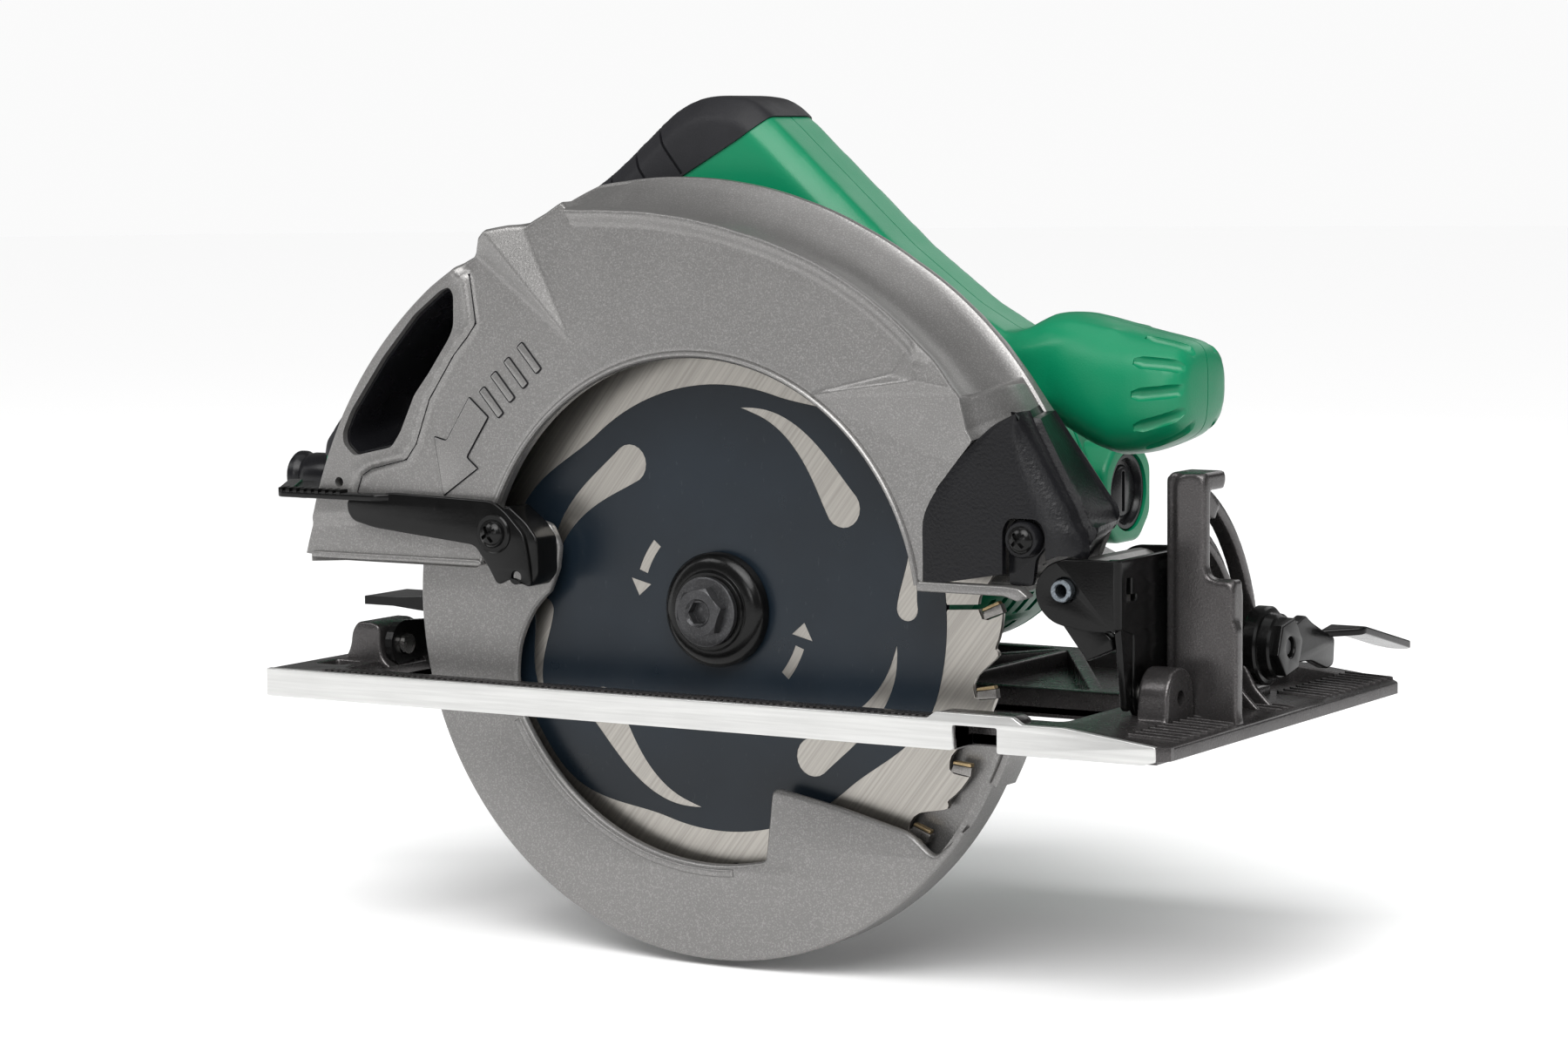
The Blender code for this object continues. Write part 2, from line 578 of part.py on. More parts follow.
def make_lower_guard():
    above = (3.0, ARBOR_Z + 9.0)
    sector = [above] + arc(ARBOR, LOWER_RADIUS, LOWER_REAR_ANGLE, LOWER_FRONT_ANGLE, 40)
    guard = prism("lower_guard", sector, LOWER_NEAR, LOWER_FAR, "Y", "guard_paint", "guard_axis")
    wide = [(above[0], above[1] + 9.0)]
    wide += arc(ARBOR, LOWER_RADIUS - 1.7, LOWER_REAR_ANGLE - 12, LOWER_FRONT_ANGLE + 12, 44)
    window = [(-54.6, 32.2), (-60.6, 26.8), (-65.7, 17.5), (-66.5, 5.0)]
    window += arc(ARBOR, WINDOW_RADIUS, -153, -75, 14)
    window += [(18.9, -38.0), (20.9, -19.8), (42.9, -23.8), (65.7, -29.3), (73.4, -35.5), (85.8, -26.1),
               (92.0, -12.0), (110.0, 20.0), (60.0, 90.0), (-50.0, 90.0), (-56.0, 58.0), (-51.5, 46.0)]
    cut(
        guard,
        prism("guard_channel", wide, LOWER_NEAR + LOWER_WALL, LOWER_FAR - LOWER_WALL, "Y", None,
              "guard_axis"),
        prism("guard_cutout", window, LOWER_NEAR - 2, LOWER_NEAR + LOWER_WALL + 1, "Y", None, "guard_axis"),
        cylinder("lever_screw_bore", 2.4, -12, -1, LEVER_SCREW, "Y", None, "guard_axis", 16),
        cylinder("guard_bore", HUB_RADIUS + 2.0, 0, 20, ARBOR, "Y", None, "guard_axis", 28),
    )
    hub_inner, hub_outer = HUB_RADIUS + 0.4, HUB_RADIUS + 5.0
    hub = ring("guard_hub", hub_inner, hub_outer, LOWER_FAR - 1.1, 11.5, ARBOR, "Y", None, "guard_axis", 28)
    join(guard, hub)


def make_guard_lever():
    arm = [(-118.5, 57.9), (-118.5, 53.8), (-116.5, 51.4), (-109.0, 49.7), (-73.0, 46.0), (-68.0, 40.5),
           (-64.5, 34.8), (-60.5, 36.5), (-53.5, 35.0), (-54.5, 49.0), (-60.5, 56.2), (-66.0, 59.8),
           (-103.0, 60.4)]
    lever = prism("guard_lever", arm, -20.0, -18.0, "Y", "black_steel", "guard_axis")
    clip = [(-60.5, 37.5), (-53.0, 36.2), (-52.6, 46.0), (-57.5, 54.0), (-60.5, 54.0)]
    thumb = [(-103.0, -20.0), (-107.0, -22.8), (-142.5, -22.8), (-160.5, 5.5), (-153.0, 9.0), (-134.5, -3.0),
             (-133.5, -18.0), (-103.0, -18.0)]
    join(
        lever,
        prism("guard_lever_clip", clip, -19.0, LOWER_NEAR - GAP, "Y", None, "guard_axis"),
        prism("guard_thumb_plate", thumb, 57.6, 60.2, "Z", None, "guard_axis"),
    )
    cut(lever, cylinder("lever_bore", 2.6, -25, -10, LEVER_SCREW, "Y", None, "guard_axis", 16))
    profile = [(0, -23.6), (3.4, -22.8), (4.0, -20.3), (2.1, -20.3), (2.1, -6.8), (0, -6.8)]
    lathe("guard_lever_screw", profile, LEVER_SCREW, "Y", "black_steel", "guard_axis", 16)


def make_guard_spring():
    """The torsion spring that closes the lower guard, coiled round the bearing boss."""
    turns, steps, radius = 2, 14, 25.5
    curve = bpy.data.curves.new("guard_spring", "CURVE")
    curve.dimensions = "3D"
    curve.bevel_depth = 0.8 * MM
    curve.bevel_resolution = 1
    curve.use_fill_caps = True
    line = curve.splines.new("POLY")
    line.points.add(turns * steps)
    for i in range(turns * steps + 1):
        angle = 2 * pi * i / steps
        y = 8.0 + 4.6 * i / (turns * steps)
        point = Vector((radius * cos(angle), y, ARBOR_Z + radius * sin(angle))) * MM
        line.points[i].co = (*point, 1.0)
    spring = bpy.data.objects.new("guard_spring", curve)
    curve.materials.append(MATERIALS["steel"])
    bpy.context.scene.collection.objects.link(spring)
    spring.parent = bpy.data.objects["depth_axis"]
    spring.location = -ORIGINS["depth_axis"] * MM


# ---------------------------------------------------------------- blade and gears


def make_blade():
    """Hooked teeth with an anti-kickback shoulder behind each gullet: (radius, degrees from the tip)."""
    tooth = [(BLADE_RADIUS, 0.0), (86.4, -1.3), (84.2, 0.6), (84.8, 2.8), (87.5, 5.2), (90.3, 7.4),
             (89.4, 8.2), (90.6, 11.6)]
    pitch = 360 / BLADE_TEETH
    outline = []
    for i in range(BLADE_TEETH):
        for radius, turn in tooth:
            outline.append(polar(ARBOR, radius, FIRST_TOOTH_ANGLE + i * pitch + turn))
    blade = prism("saw_blade", outline, -BLADE_HALF, BLADE_HALF, "Y", "blade_coating", "spindle_axis")
    slots, holes = [], []
    for angle in EXPANSION_SLOT_ANGLES:
        across = Vector(polar((0, 0), 0.6, angle + 90))
        start, end = Vector(polar(ARBOR, 72, angle)), Vector(polar(ARBOR, 90, angle))
        slots.append([tuple(start - across), tuple(end - across), tuple(end + across), tuple(start + across)])
        holes.append(circle(polar(ARBOR, 71.6, angle), 1.9, 10))
    cut(
        blade,
        cylinder("arbor_hole", ARBOR_BORE + GAP, -5, 5, ARBOR, "Y", None, "spindle_axis"),
        prisms("expansion_slots", slots, -3, 3, "Y", None, "spindle_axis"),
        prisms("expansion_holes", holes, -3.5, 3.5, "Y", None, "spindle_axis"),
    )


def involute_outline(teeth, shift, tip_cut, turn, centre):
    """A gear outline: involute flanks at 20 degrees of pressure, thinned for backlash."""
    pressure = radians(20)
    pitch_radius = teeth * GEAR_MODULE / 2
    base_radius = pitch_radius * cos(pressure)
    tip = pitch_radius + GEAR_MODULE * (1 + shift) - tip_cut
    root = pitch_radius - GEAR_MODULE * (1.25 - shift)
    thickness = GEAR_MODULE * (pi / 2 + 2 * shift * tan(pressure)) - 0.30
    half = thickness / (2 * pitch_radius) + tan(pressure) - pressure
    outline = []
    for tooth in range(teeth):
        middle = turn + 2 * pi * tooth / teeth
        flank = [(root, half)]
        for step in (1, 2):
            radius = base_radius + (tip - base_radius) * step / 2
            grip = acos(base_radius / radius)
            flank.append((radius, half - (tan(grip) - grip)))
        rising = [(radius, middle - angle) for radius, angle in flank]
        falling = [(radius, middle + angle) for radius, angle in reversed(flank)]
        for radius, angle in rising + falling:
            outline.append((centre[0] + radius * cos(angle), centre[1] + radius * sin(angle)))
    return outline


def make_drive():
    gear_turn = radians(MOTOR_ANGLE)
    pinion_turn = gear_turn + pi + pi / PINION_TEETH
    outline = involute_outline(GEAR_TEETH, -PROFILE_SHIFT, 0.15, gear_turn, ARBOR)
    gear = prism("drive_gear", outline, GEAR_NEAR, GEAR_FAR, "Y", "steel", "spindle_axis")
    cut(gear, cylinder("gear_bore", ARBOR_BORE + GAP, 10, 30, ARBOR, "Y", None, "spindle_axis", 24))
    spindle = lathe(
        "spindle",
        [(0, -0.5), (8.0, -0.5), (8.0, 25.8), (5.0, 25.8), (5.0, 33.0), (0, 33.0)],
        ARBOR, "Y", "steel", "spindle_axis", 24,
    )
    cut(spindle, cylinder("bolt_hole", 4.3, -5, 12, ARBOR, "Y", None, "spindle_axis", 20))
    ring("inner_flange", ARBOR_BORE + GAP, 17.0, 1.2, 5.2, ARBOR, "Y", "steel", "spindle_axis")
    profile = [(4.6, -1.2), (16.5, -1.2), (16.5, -4.6), (14.5, -6.6), (11.5, -6.6), (11.0, -8.0), (4.6, -8.0)]
    lathe("outer_flange", profile, ARBOR, "Y", "black_steel", "spindle_axis")
    hexagon = arc(ARBOR, 7.6, 12, 312, 5)
    bolt = prism("blade_bolt", hexagon, -13.6, -9.0, "Y", "black_steel", "spindle_axis")
    shank = [(0, -10.0), (10.0, -10.0), (10.0, -8.3), (4.0, -8.3), (4.0, 10.0), (0, 10.0)]
    join(bolt, lathe("blade_bolt_shank", shank, ARBOR, "Y", None, "spindle_axis", 24))
    cut(bolt, prism("blade_bolt_socket", arc(ARBOR, 3.4, 0, 300, 5), -20, -10.4, "Y", None, "spindle_axis"))
    outline = involute_outline(PINION_TEETH, PROFILE_SHIFT, 0.15, pinion_turn, MOTOR)
    shaft = prism("armature_shaft", outline, GEAR_NEAR - 0.5, GEAR_FAR + 0.7, "Y", "steel", "armature_axis")
    body = cylinder("shaft_body", SHAFT_RADIUS, GEAR_FAR, 152, MOTOR, "Y", None, "armature_axis", 20)
    join(shaft, body)
    bore = SHAFT_RADIUS + GAP
    ring("armature_core", bore, CORE_RADIUS, 56, 96, MOTOR, "Y", "lamination", "armature_axis")
    ring("commutator", bore, 13.0, 118, 138, MOTOR, "Y", "copper", "armature_axis", 24)
    profile = [(bore, 41), (12, 41), (12, 46.5), (37, 46.5), (37, 52), (34, 52), (bore, 49)]
    lathe("cooling_fan", profile, MOTOR, "Y", "black_plastic", "armature_axis")


# ---------------------------------------------------------------- motor and cases


def make_gear_case():
    outline = hull_of_circles(ARBOR, 28.2, MOTOR, 19.0)
    case = prism("gear_case", outline, CASE_NEAR, CASE_FAR, "Y", "aluminium", "depth_axis")
    inside = hull_of_circles(ARBOR, 26.4, MOTOR, 14.0)
    join(case, cylinder("front_bearing_boss", 14.0, 27, 37, MOTOR, "Y", None, "depth_axis"))
    join(case, cylinder("rear_spindle_boss", 11.0, 27, 36, ARBOR, "Y", None, "depth_axis", 24))
    cut(
        case,
        prism("gear_chamber", inside, CASE_NEAR - 1, 26.6, "Y", None, "depth_axis"),
        cylinder("bush_seat", 8.3, 20, 33.4, ARBOR, "Y", None, "depth_axis", 24),
        cylinder("front_bearing_seat", 11.3, 28.5, 40, MOTOR, "Y", None, "depth_axis", 24),
        cylinder("shaft_hole", 6.0, 20, 40, MOTOR, "Y", None, "depth_axis", 24),
    )
    ring("spindle_bearing", ARBOR_BORE + GAP, 13.0, 7.9, 14.9, ARBOR, "Y", "steel", "depth_axis", 24)
    ring("spindle_bush", 5.3, 8.0, 27.0, 33.0, ARBOR, "Y", "copper", "depth_axis", 20)
    ring("front_motor_bearing", SHAFT_RADIUS + GAP, 11.0, 29.0, 36.0, MOTOR, "Y", "steel", "depth_axis", 24)
    ring("rear_motor_bearing", SHAFT_RADIUS + GAP, 9.0, 143, 150, MOTOR, "Y", "steel", "depth_axis", 24)


def make_motor():
    inner = HOUSING_RADIUS - HOUSING_WALL
    housing = ring("motor_housing", inner, HOUSING_RADIUS, HOUSING_NEAR, HOUSING_FAR, MOTOR, "Y",
                   "green_plastic", "depth_axis", 40)
    cut(housing, cylinder("gear_boss_room", 16.5, 20, 38, ARBOR, "Y", None, "depth_axis", 24))
    profile = [
        (0, TAIL_END), (24, TAIL_END), (31, TAIL_END - 3), (34.5, TAIL_END - 10), (38, 138), (41, 122),
        (44, 116), (45, HOUSING_FAR + GAP), (42, HOUSING_FAR + GAP), (41, 116), (38, 122), (35, 138),
        (31.5, TAIL_END - 11), (28, TAIL_END - 6), (14, TAIL_END - 5), (14, 141), (9.3, 141), (9.3, 152),
        (0, 152),
    ]
    tail = lathe("tail_cover", profile, MOTOR, "Y", "green_plastic", "depth_axis", 24)
    brush = (BRUSH_Y, MOTOR_Z)
    pads = cylinder("brush_pads", 13.0, MOTOR_X - 49.0, MOTOR_X + 49.0, brush, "X", None, "depth_axis", 24)
    core = cylinder("tail_core", 35.5, HOUSING_FAR - 2, 143, MOTOR, "Y", None, "depth_axis", 40)
    join(tail, pads)
    cut(
        tail,
        core,
        cylinder("brush_bore", 10.3, MOTOR_X - 60, MOTOR_X + 60, brush, "X", None, "depth_axis", 24),
    )
    ring("stator", CORE_RADIUS + 0.9, inner - 0.4, 54, 98, MOTOR, "Y", "lamination", "depth_axis", 40)
    for name, side in (("front", 1), ("rear", -1)):
        ends = sorted((MOTOR_X + side * 14.0, MOTOR_X + side * 43.0))
        cylinder("brush_holder_" + name, 6.0, *ends, brush, "X", "copper", "depth_axis", 16)
        ends = sorted((MOTOR_X + side * 43.3, MOTOR_X + side * 48.6))
        cylinder("brush_cap_" + name, 10.0, *ends, brush, "X", "black_plastic", "depth_axis", 24)


# ---------------------------------------------------------------- handle

RUBBER_PATH = [(-6.0, 172.0), (-10.5, 174.6), (-17.5, 175.8), (-26.6, 175.3), (-35.8, 171.3), (-45.2, 163.8),
               (-60.9, 151.4), (-90.0, 134.0), (-120.0, 113.5), (-143.0, 94.0), (-152.0, 84.0)]
HANDLE_SCREWS = [(-150.0, 59.0), (-20.0, 118.0), (60.0, 98.0), (118.0, 92.0), (-76.0, 57.5)]


def handle_outline():
    front = [(116.6, 75.1), (134.9, 83.1), (138.3, 95.3), (135.4, 103.7), (108.4, 111.2), (93.3, 113.4),
             (83.0, 110.8), (74.4, 108.6), (60.0, 116.5), (38.3, 132.4), (12.2, 155.8), (0.0, 166.5)]
    recess = offset_path(RUBBER_PATH, -(RUBBER + GAP))
    rear = [(-163.0, 77.0), (-168.0, 66.0), (-168.0, 52.0), (-160.0, 48.0), (-100.0, 47.5), (-40.0, 50.0)]
    saddle = arc(MOTOR, HOUSING_RADIUS + GAP, 180, 36, 16)
    return front + recess + rear + saddle + [(64.0, 83.0), (80.8, 86.4), (92.0, 84.0), (105.7, 78.5)]


def make_handle():
    grip_gap = [(-45.2, 122.5), (-74.3, 106.2), (-102.4, 87.4), (-120.0, 74.0), (-118.0, 68.0), (-60.0, 68.0),
                (-46.0, 74.0), (-36.0, 92.0), (-33.0, 112.0), (-36.0, 120.5)]
    switch_room = [(-24.0, 157.0), (-64.0, 136.0), (-56.0, 121.0), (-28.0, 120.0), (-14.0, 146.0)]
    front_room = [(90.0, 103.5), (128.0, 97.0), (127.0, 87.5), (94.0, 93.0)]
    trigger_room = [(-66.0, 136.0), (-66.0, 112.0), (-58.0, 98.0), (-28.0, 115.0), (-24.0, 130.0),
                    (-28.0, 141.0)]
    middle = (HANDLE_NEAR + 4.0, HANDLE_FAR - 4.0)
    halves = {"right": (HANDLE_NEAR, HANDLE_MIDDLE - GAP / 2), "left": (HANDLE_MIDDLE + GAP / 2, HANDLE_FAR)}
    for side, ends in halves.items():
        name = "handle_shell_" + side
        shell = prism(name, handle_outline(), *ends, "Y", "green_plastic", "depth_axis")
        cut(
            shell,
            prism("grip_gap_" + side, grip_gap, 20, 80, "Y", None, "depth_axis"),
            prism("switch_room_" + side, switch_room, *middle, "Y", None, "depth_axis"),
            prism("trigger_room_" + side, trigger_room, HANDLE_MIDDLE - 8, HANDLE_MIDDLE + 8, "Y",
                  None, "depth_axis"),
            prism("front_room_" + side, front_room, *middle, "Y", None, "depth_axis"),
            prisms("screw_bores_" + side, [circle(place, 2.2, 12) for place in HANDLE_SCREWS], 40, 80, "Y",
                   None, "depth_axis"),
        )
    strip = list(reversed(RUBBER_PATH)) + offset_path(RUBBER_PATH, -RUBBER)
    prism("grip_rubber", strip, HANDLE_NEAR, HANDLE_FAR, "Y", "black_rubber", "depth_axis")
    body = [(-27.0, 153.5), (-60.0, 135.5), (-57.5, 131.0), (-24.0, 148.0)]
    prism("switch_body", body, HANDLE_MIDDLE - 8, HANDLE_MIDDLE + 8, "Y", "black_plastic", "depth_axis")
    for number, place in enumerate(HANDLE_SCREWS, 1):
        profile = [(0, 41.5), (1.9, 41.5), (1.9, HANDLE_FAR + GAP), (3.6, HANDLE_FAR + GAP), (3.2, 64.6),
                   (0, 65.0)]
        lathe(f"handle_screw_{number}", profile, place, "Y", "black_steel", "depth_axis", 12)
    gland = [(3.6, -186.0), (7.4, -186.0), (7.4, -183.0), (6.5, -182.5), (6.5, -168.3), (3.6, -168.3)]
    lathe("cord_inlet", gland, (HANDLE_MIDDLE, 58.0), "X", "black_rubber", "depth_axis", 20)


def make_trigger():
    outline = [(-28.0, 136.0), (-31.0, 139.5), (-54.0, 126.5), (-57.0, 122.0), (-61.0, 117.0), (-59.0, 109.0),
               (-52.0, 106.0), (-42.0, 112.0), (-37.0, 118.0), (-31.0, 122.5)]
    ends = (HANDLE_MIDDLE - 7, HANDLE_MIDDLE + 7)
    trigger = prism("trigger", outline, *ends, "Y", "black_plastic", "trigger_axis")
    cut(trigger, cylinder("trigger_bore", 1.8, 20, 80, TRIGGER_PIVOT, "Y", None, "trigger_axis", 12))
    ends = (HANDLE_NEAR + 4.3, HANDLE_FAR - 4.3)
    cylinder("trigger_pin", 1.5, *ends, TRIGGER_PIVOT, "Y", "steel", "depth_axis", 12)


def make_depth_lever():
    x, z = LINK_BOLT
    profile = [(0, 12.0), (5.0, 12.0), (5.0, 14.0), (2.4, 14.0), (2.4, 29.0), (0, 29.0)]
    lathe("depth_clamp_bolt", profile, LINK_BOLT, "Y", "steel", "depth_axis", 16)
    lever = ring("depth_lever", 2.7, 8.0, 21.9, 28.5, LINK_BOLT, "Y", "black_steel", "depth_lever_axis", 20)
    arm = [(x - 4, z - 5), (x - 50, z - 1.0), (x - 60, z - 1.0), (x - 60, z + 1.6), (x - 48, z + 1.6),
           (x - 4, z + 5)]
    tab = [(x - 44, 24.0), (x - 61, 24.0), (x - 61, 46.0), (x - 44, 46.0)]
    join(
        lever,
        prism("depth_lever_arm", arm, 23.0, 26.0, "Y", None, "depth_lever_axis"),
        prism("depth_lever_tab", tab, z - 1.2, z + 1.4, "Z", None, "depth_lever_axis"),
    )


def clear_scene():
    for thing in list(bpy.data.objects):
        bpy.data.objects.remove(thing, do_unlink=True)


def main():
    clear_scene()
    make_materials()
    make_axes()
    make_base()
    make_pivot_boss()
    make_quadrant()
    make_hinge_bracket()
    make_bevel_lever()
    make_depth_link()
    make_upper_guard()
    make_chip_cover()
    make_inner_cover()
    make_lower_guard()
    make_guard_lever()
    make_guard_spring()
    make_blade()
    make_drive()
    make_gear_case()
    make_motor()
    make_handle()
    make_trigger()
    make_depth_lever()


main()
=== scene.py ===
from math import cos, exp, hypot, pi, radians, sin

import bmesh
import bpy
from mathutils import Matrix, Vector


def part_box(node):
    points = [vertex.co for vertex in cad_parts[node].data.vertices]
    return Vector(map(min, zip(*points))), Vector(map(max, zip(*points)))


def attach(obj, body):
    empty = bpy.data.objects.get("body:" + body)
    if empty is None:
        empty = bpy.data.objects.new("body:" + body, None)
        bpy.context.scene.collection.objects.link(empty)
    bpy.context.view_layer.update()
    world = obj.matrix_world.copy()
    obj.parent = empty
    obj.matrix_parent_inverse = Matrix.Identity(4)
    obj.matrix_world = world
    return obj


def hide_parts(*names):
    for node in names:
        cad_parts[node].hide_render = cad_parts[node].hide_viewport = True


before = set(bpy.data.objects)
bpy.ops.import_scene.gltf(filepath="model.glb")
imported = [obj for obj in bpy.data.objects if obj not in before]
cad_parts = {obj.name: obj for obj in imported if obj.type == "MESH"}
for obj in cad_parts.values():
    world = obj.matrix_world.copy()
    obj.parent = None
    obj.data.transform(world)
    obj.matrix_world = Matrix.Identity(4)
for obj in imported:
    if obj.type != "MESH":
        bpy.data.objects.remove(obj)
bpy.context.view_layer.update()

# Lengths are in millimetres in the saw frame: x forward from the arbor, y left from the blade, z up
# from the sole.  place() turns such a point into the row frame's metres.
MM = 0.001
BLADE_Y = sum(corner.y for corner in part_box("saw_blade")) / 2 / MM
ARBOR = (0, 29.5)
MOTOR = (15.63, 54.52)
DEPTH_PIN = (117.4, 42.1)
BEVEL_AXIS = (1.5, 12.8)
BEVEL_BOLT = (54.84, 21.25)
HANDLE_MIDDLE = 45.65
CORNER_SIGNS = ((1, 1), (1, -1), (-1, -1), (-1, 1))
LOOKS = {}


def place(x, y, z):
    return Vector((x, y + BLADE_Y, z)) * MM


def to_space(first, second, along, axis):
    if axis == "X":
        return (along, first, second)
    if axis == "Y":
        return (first, along, second)
    return (first, second, along)


def polar(centre, radius, angle):
    return (centre[0] + radius * cos(radians(angle)), centre[1] + radius * sin(radians(angle)))


def arc(centre, radius, first, last, steps):
    return [polar(centre, radius, first + (last - first) * i / steps) for i in range(steps + 1)]


def circle(centre, radius, steps=48):
    return arc(centre, radius, 0, 360 * (steps - 1) / steps, steps - 1)


def rounded(outline, radius, steps=4):
    """The outline with each corner cut back and rounded."""
    found = []
    count = len(outline)
    for i in range(count):
        a, b, c = (Vector(outline[(i + k) % count]) for k in (-1, 0, 1))
        reach = min(radius, (a - b).length * 0.45, (c - b).length * 0.45)
        start, end = b + (a - b).normalized() * reach, b + (c - b).normalized() * reach
        for k in range(steps + 1):
            t = k / steps
            found.append(tuple(start * (1 - t) ** 2 + b * 2 * t * (1 - t) + end * t * t))
    return found


def smooth_path(points, steps=6):
    """A Catmull-Rom curve through the points."""
    found = []
    for i in range(len(points) - 1):
        a, b, c, d = (Vector(points[min(max(i + k, 0), len(points) - 1)]) for k in (-1, 0, 1, 2))
        for k in range(steps):
            t = k / steps
            found.append(tuple(0.5 * (2 * b + (c - a) * t + (2 * a - 5 * b + 4 * c - d) * t * t
                                      + (3 * b - a - 3 * c + d) * t ** 3)))
    return found + [tuple(points[-1])]


def between(start, end, count):
    """Evenly spaced points from start to end."""
    steps = [k / (count - 1) for k in range(count)]
    return [Vector(start) * (1 - t) + Vector(end) * t for t in steps]


def bar(centre, along, across):
    """A bar's corners, from its middle, half its length and half its width."""
    return [tuple(centre + along * s + across * t) for s, t in CORNER_SIGNS]


def box_outline(x_low, x_high, y_low, y_high):
    return [(x_low, y_low), (x_high, y_low), (x_high, y_high), (x_low, y_high)]


# ---------------------------------------------------------------- materials


def noise(tree, where, scale, detail=2.0, stretch=None, lean=0.0):
    """A noise over the object's own coordinates, drawn out by stretch along axes that lean."""
    if stretch:
        mapping = tree.nodes.new("ShaderNodeMapping")
        mapping.vector_type = "TEXTURE"
        mapping.inputs["Rotation"].default_value = (0, radians(lean), 0)
        mapping.inputs["Scale"].default_value = [1 / each for each in stretch]
        tree.links.new(where, mapping.inputs["Vector"])
        where = mapping.outputs["Vector"]
    node = tree.nodes.new("ShaderNodeTexNoise")
    node.inputs["Scale"].default_value = scale
    node.inputs["Detail"].default_value = detail
    tree.links.new(where, node.inputs["Vector"])
    return node.outputs["Fac"]


def ramp(tree, value, low, high, first, last):
    """A value between low and high, spread over first to last."""
    node = tree.nodes.new("ShaderNodeMapRange")
    for name, level in (("From Min", low), ("From Max", high), ("To Min", first), ("To Max", last)):
        node.inputs[name].default_value = level
    tree.links.new(value, node.inputs["Value"])
    return node.outputs["Result"]


def mix(tree, factor, first, second):
    """Two colours mixed by a factor; each is a tuple or a socket."""
    node = tree.nodes.new("ShaderNodeMix")
    node.data_type = "RGBA"
    tree.links.new(factor, node.inputs["Factor"])
    for socket, value in ((node.inputs["A"], first), (node.inputs["B"], second)):
        if isinstance(value, tuple):
            socket.default_value = (*value, 1.0)
        else:
            tree.links.new(value, socket)
    return node.outputs["Result"]


def scaled(colour, factor, extra=0.0):
    return tuple(min(1.0, c * factor + extra) for c in colour)


def add_bump(tree, height, strength):
    bump = tree.nodes.new("ShaderNodeBump")
    bump.inputs["Strength"].default_value = strength
    bump.inputs["Distance"].default_value = 0.0002
    tree.links.new(height, bump.inputs["Height"])
    tree.links.new(bump.outputs["Normal"], tree.nodes["Principled BSDF"].inputs["Normal"])


def look(name, colour, roughness, metallic, grain=(1500, 0.1), mottle=(60, 0.12), rough_mottle=0.08,
         streak=None, coat=0.0, wear=0.0, specular=0.5, contrast=0.2, lean=0.0):
    """A Principled material with fine bump, slow changes of colour and roughness, and small scratches.

    grain and mottle are each a scale and a strength.  streak is a scale and a stretch along each axis, and
    takes the place of the mottled colour.
    """
    LOOKS[name] = bpy.data.materials.new(name)
    LOOKS[name].use_nodes = True
    tree = LOOKS[name].node_tree
    shader = tree.nodes["Principled BSDF"].inputs
    for socket, level in (("Metallic", metallic), ("Coat Weight", coat), ("Coat Roughness", 0.25),
                          ("Specular IOR Level", specular)):
        shader[socket].default_value = level
    where = tree.nodes.new("ShaderNodeTexCoord").outputs["Object"]
    if streak:
        scale, stretch = streak
        lines = ramp(tree, noise(tree, where, scale, 3.0, stretch, lean), 0.35, 0.65, 0, 1)
        shade = mix(tree, lines, scaled(colour, 1 - contrast), scaled(colour, 1 + contrast))
        fine = noise(tree, where, scale * 0.3, 2.0, stretch, lean)
    else:
        blotches = ramp(tree, noise(tree, where, mottle[0], 3.0), 0.35, 0.65, 0, 1)
        shade = mix(tree, blotches, scaled(colour, 1 - mottle[1]), scaled(colour, 1 + mottle[1]))
        fine = noise(tree, where, grain[0])
    if metallic > 0.3 and not streak:
        flakes = ramp(tree, noise(tree, where, grain[0] * 1.6, 1.0), 0.50, 0.68, 0, 0.6)
        shade = mix(tree, flakes, shade, scaled(colour, 1.5, 0.02))
    if wear:
        scratches = ramp(tree, noise(tree, where, 900, 2.0, (1.0, 0.12, 0.35), lean), 0.70, 0.76, 0, wear)
        shade = mix(tree, scratches, shade, scaled(colour, 2.0, 0.10))
    tree.links.new(shade, shader["Base Color"])
    uneven = noise(tree, where, mottle[0] * 2.3, 3.0)
    tree.links.new(ramp(tree, uneven, 0.3, 0.7, roughness - rough_mottle, roughness + rough_mottle),
                   shader["Roughness"])
    add_bump(tree, fine, grain[1])


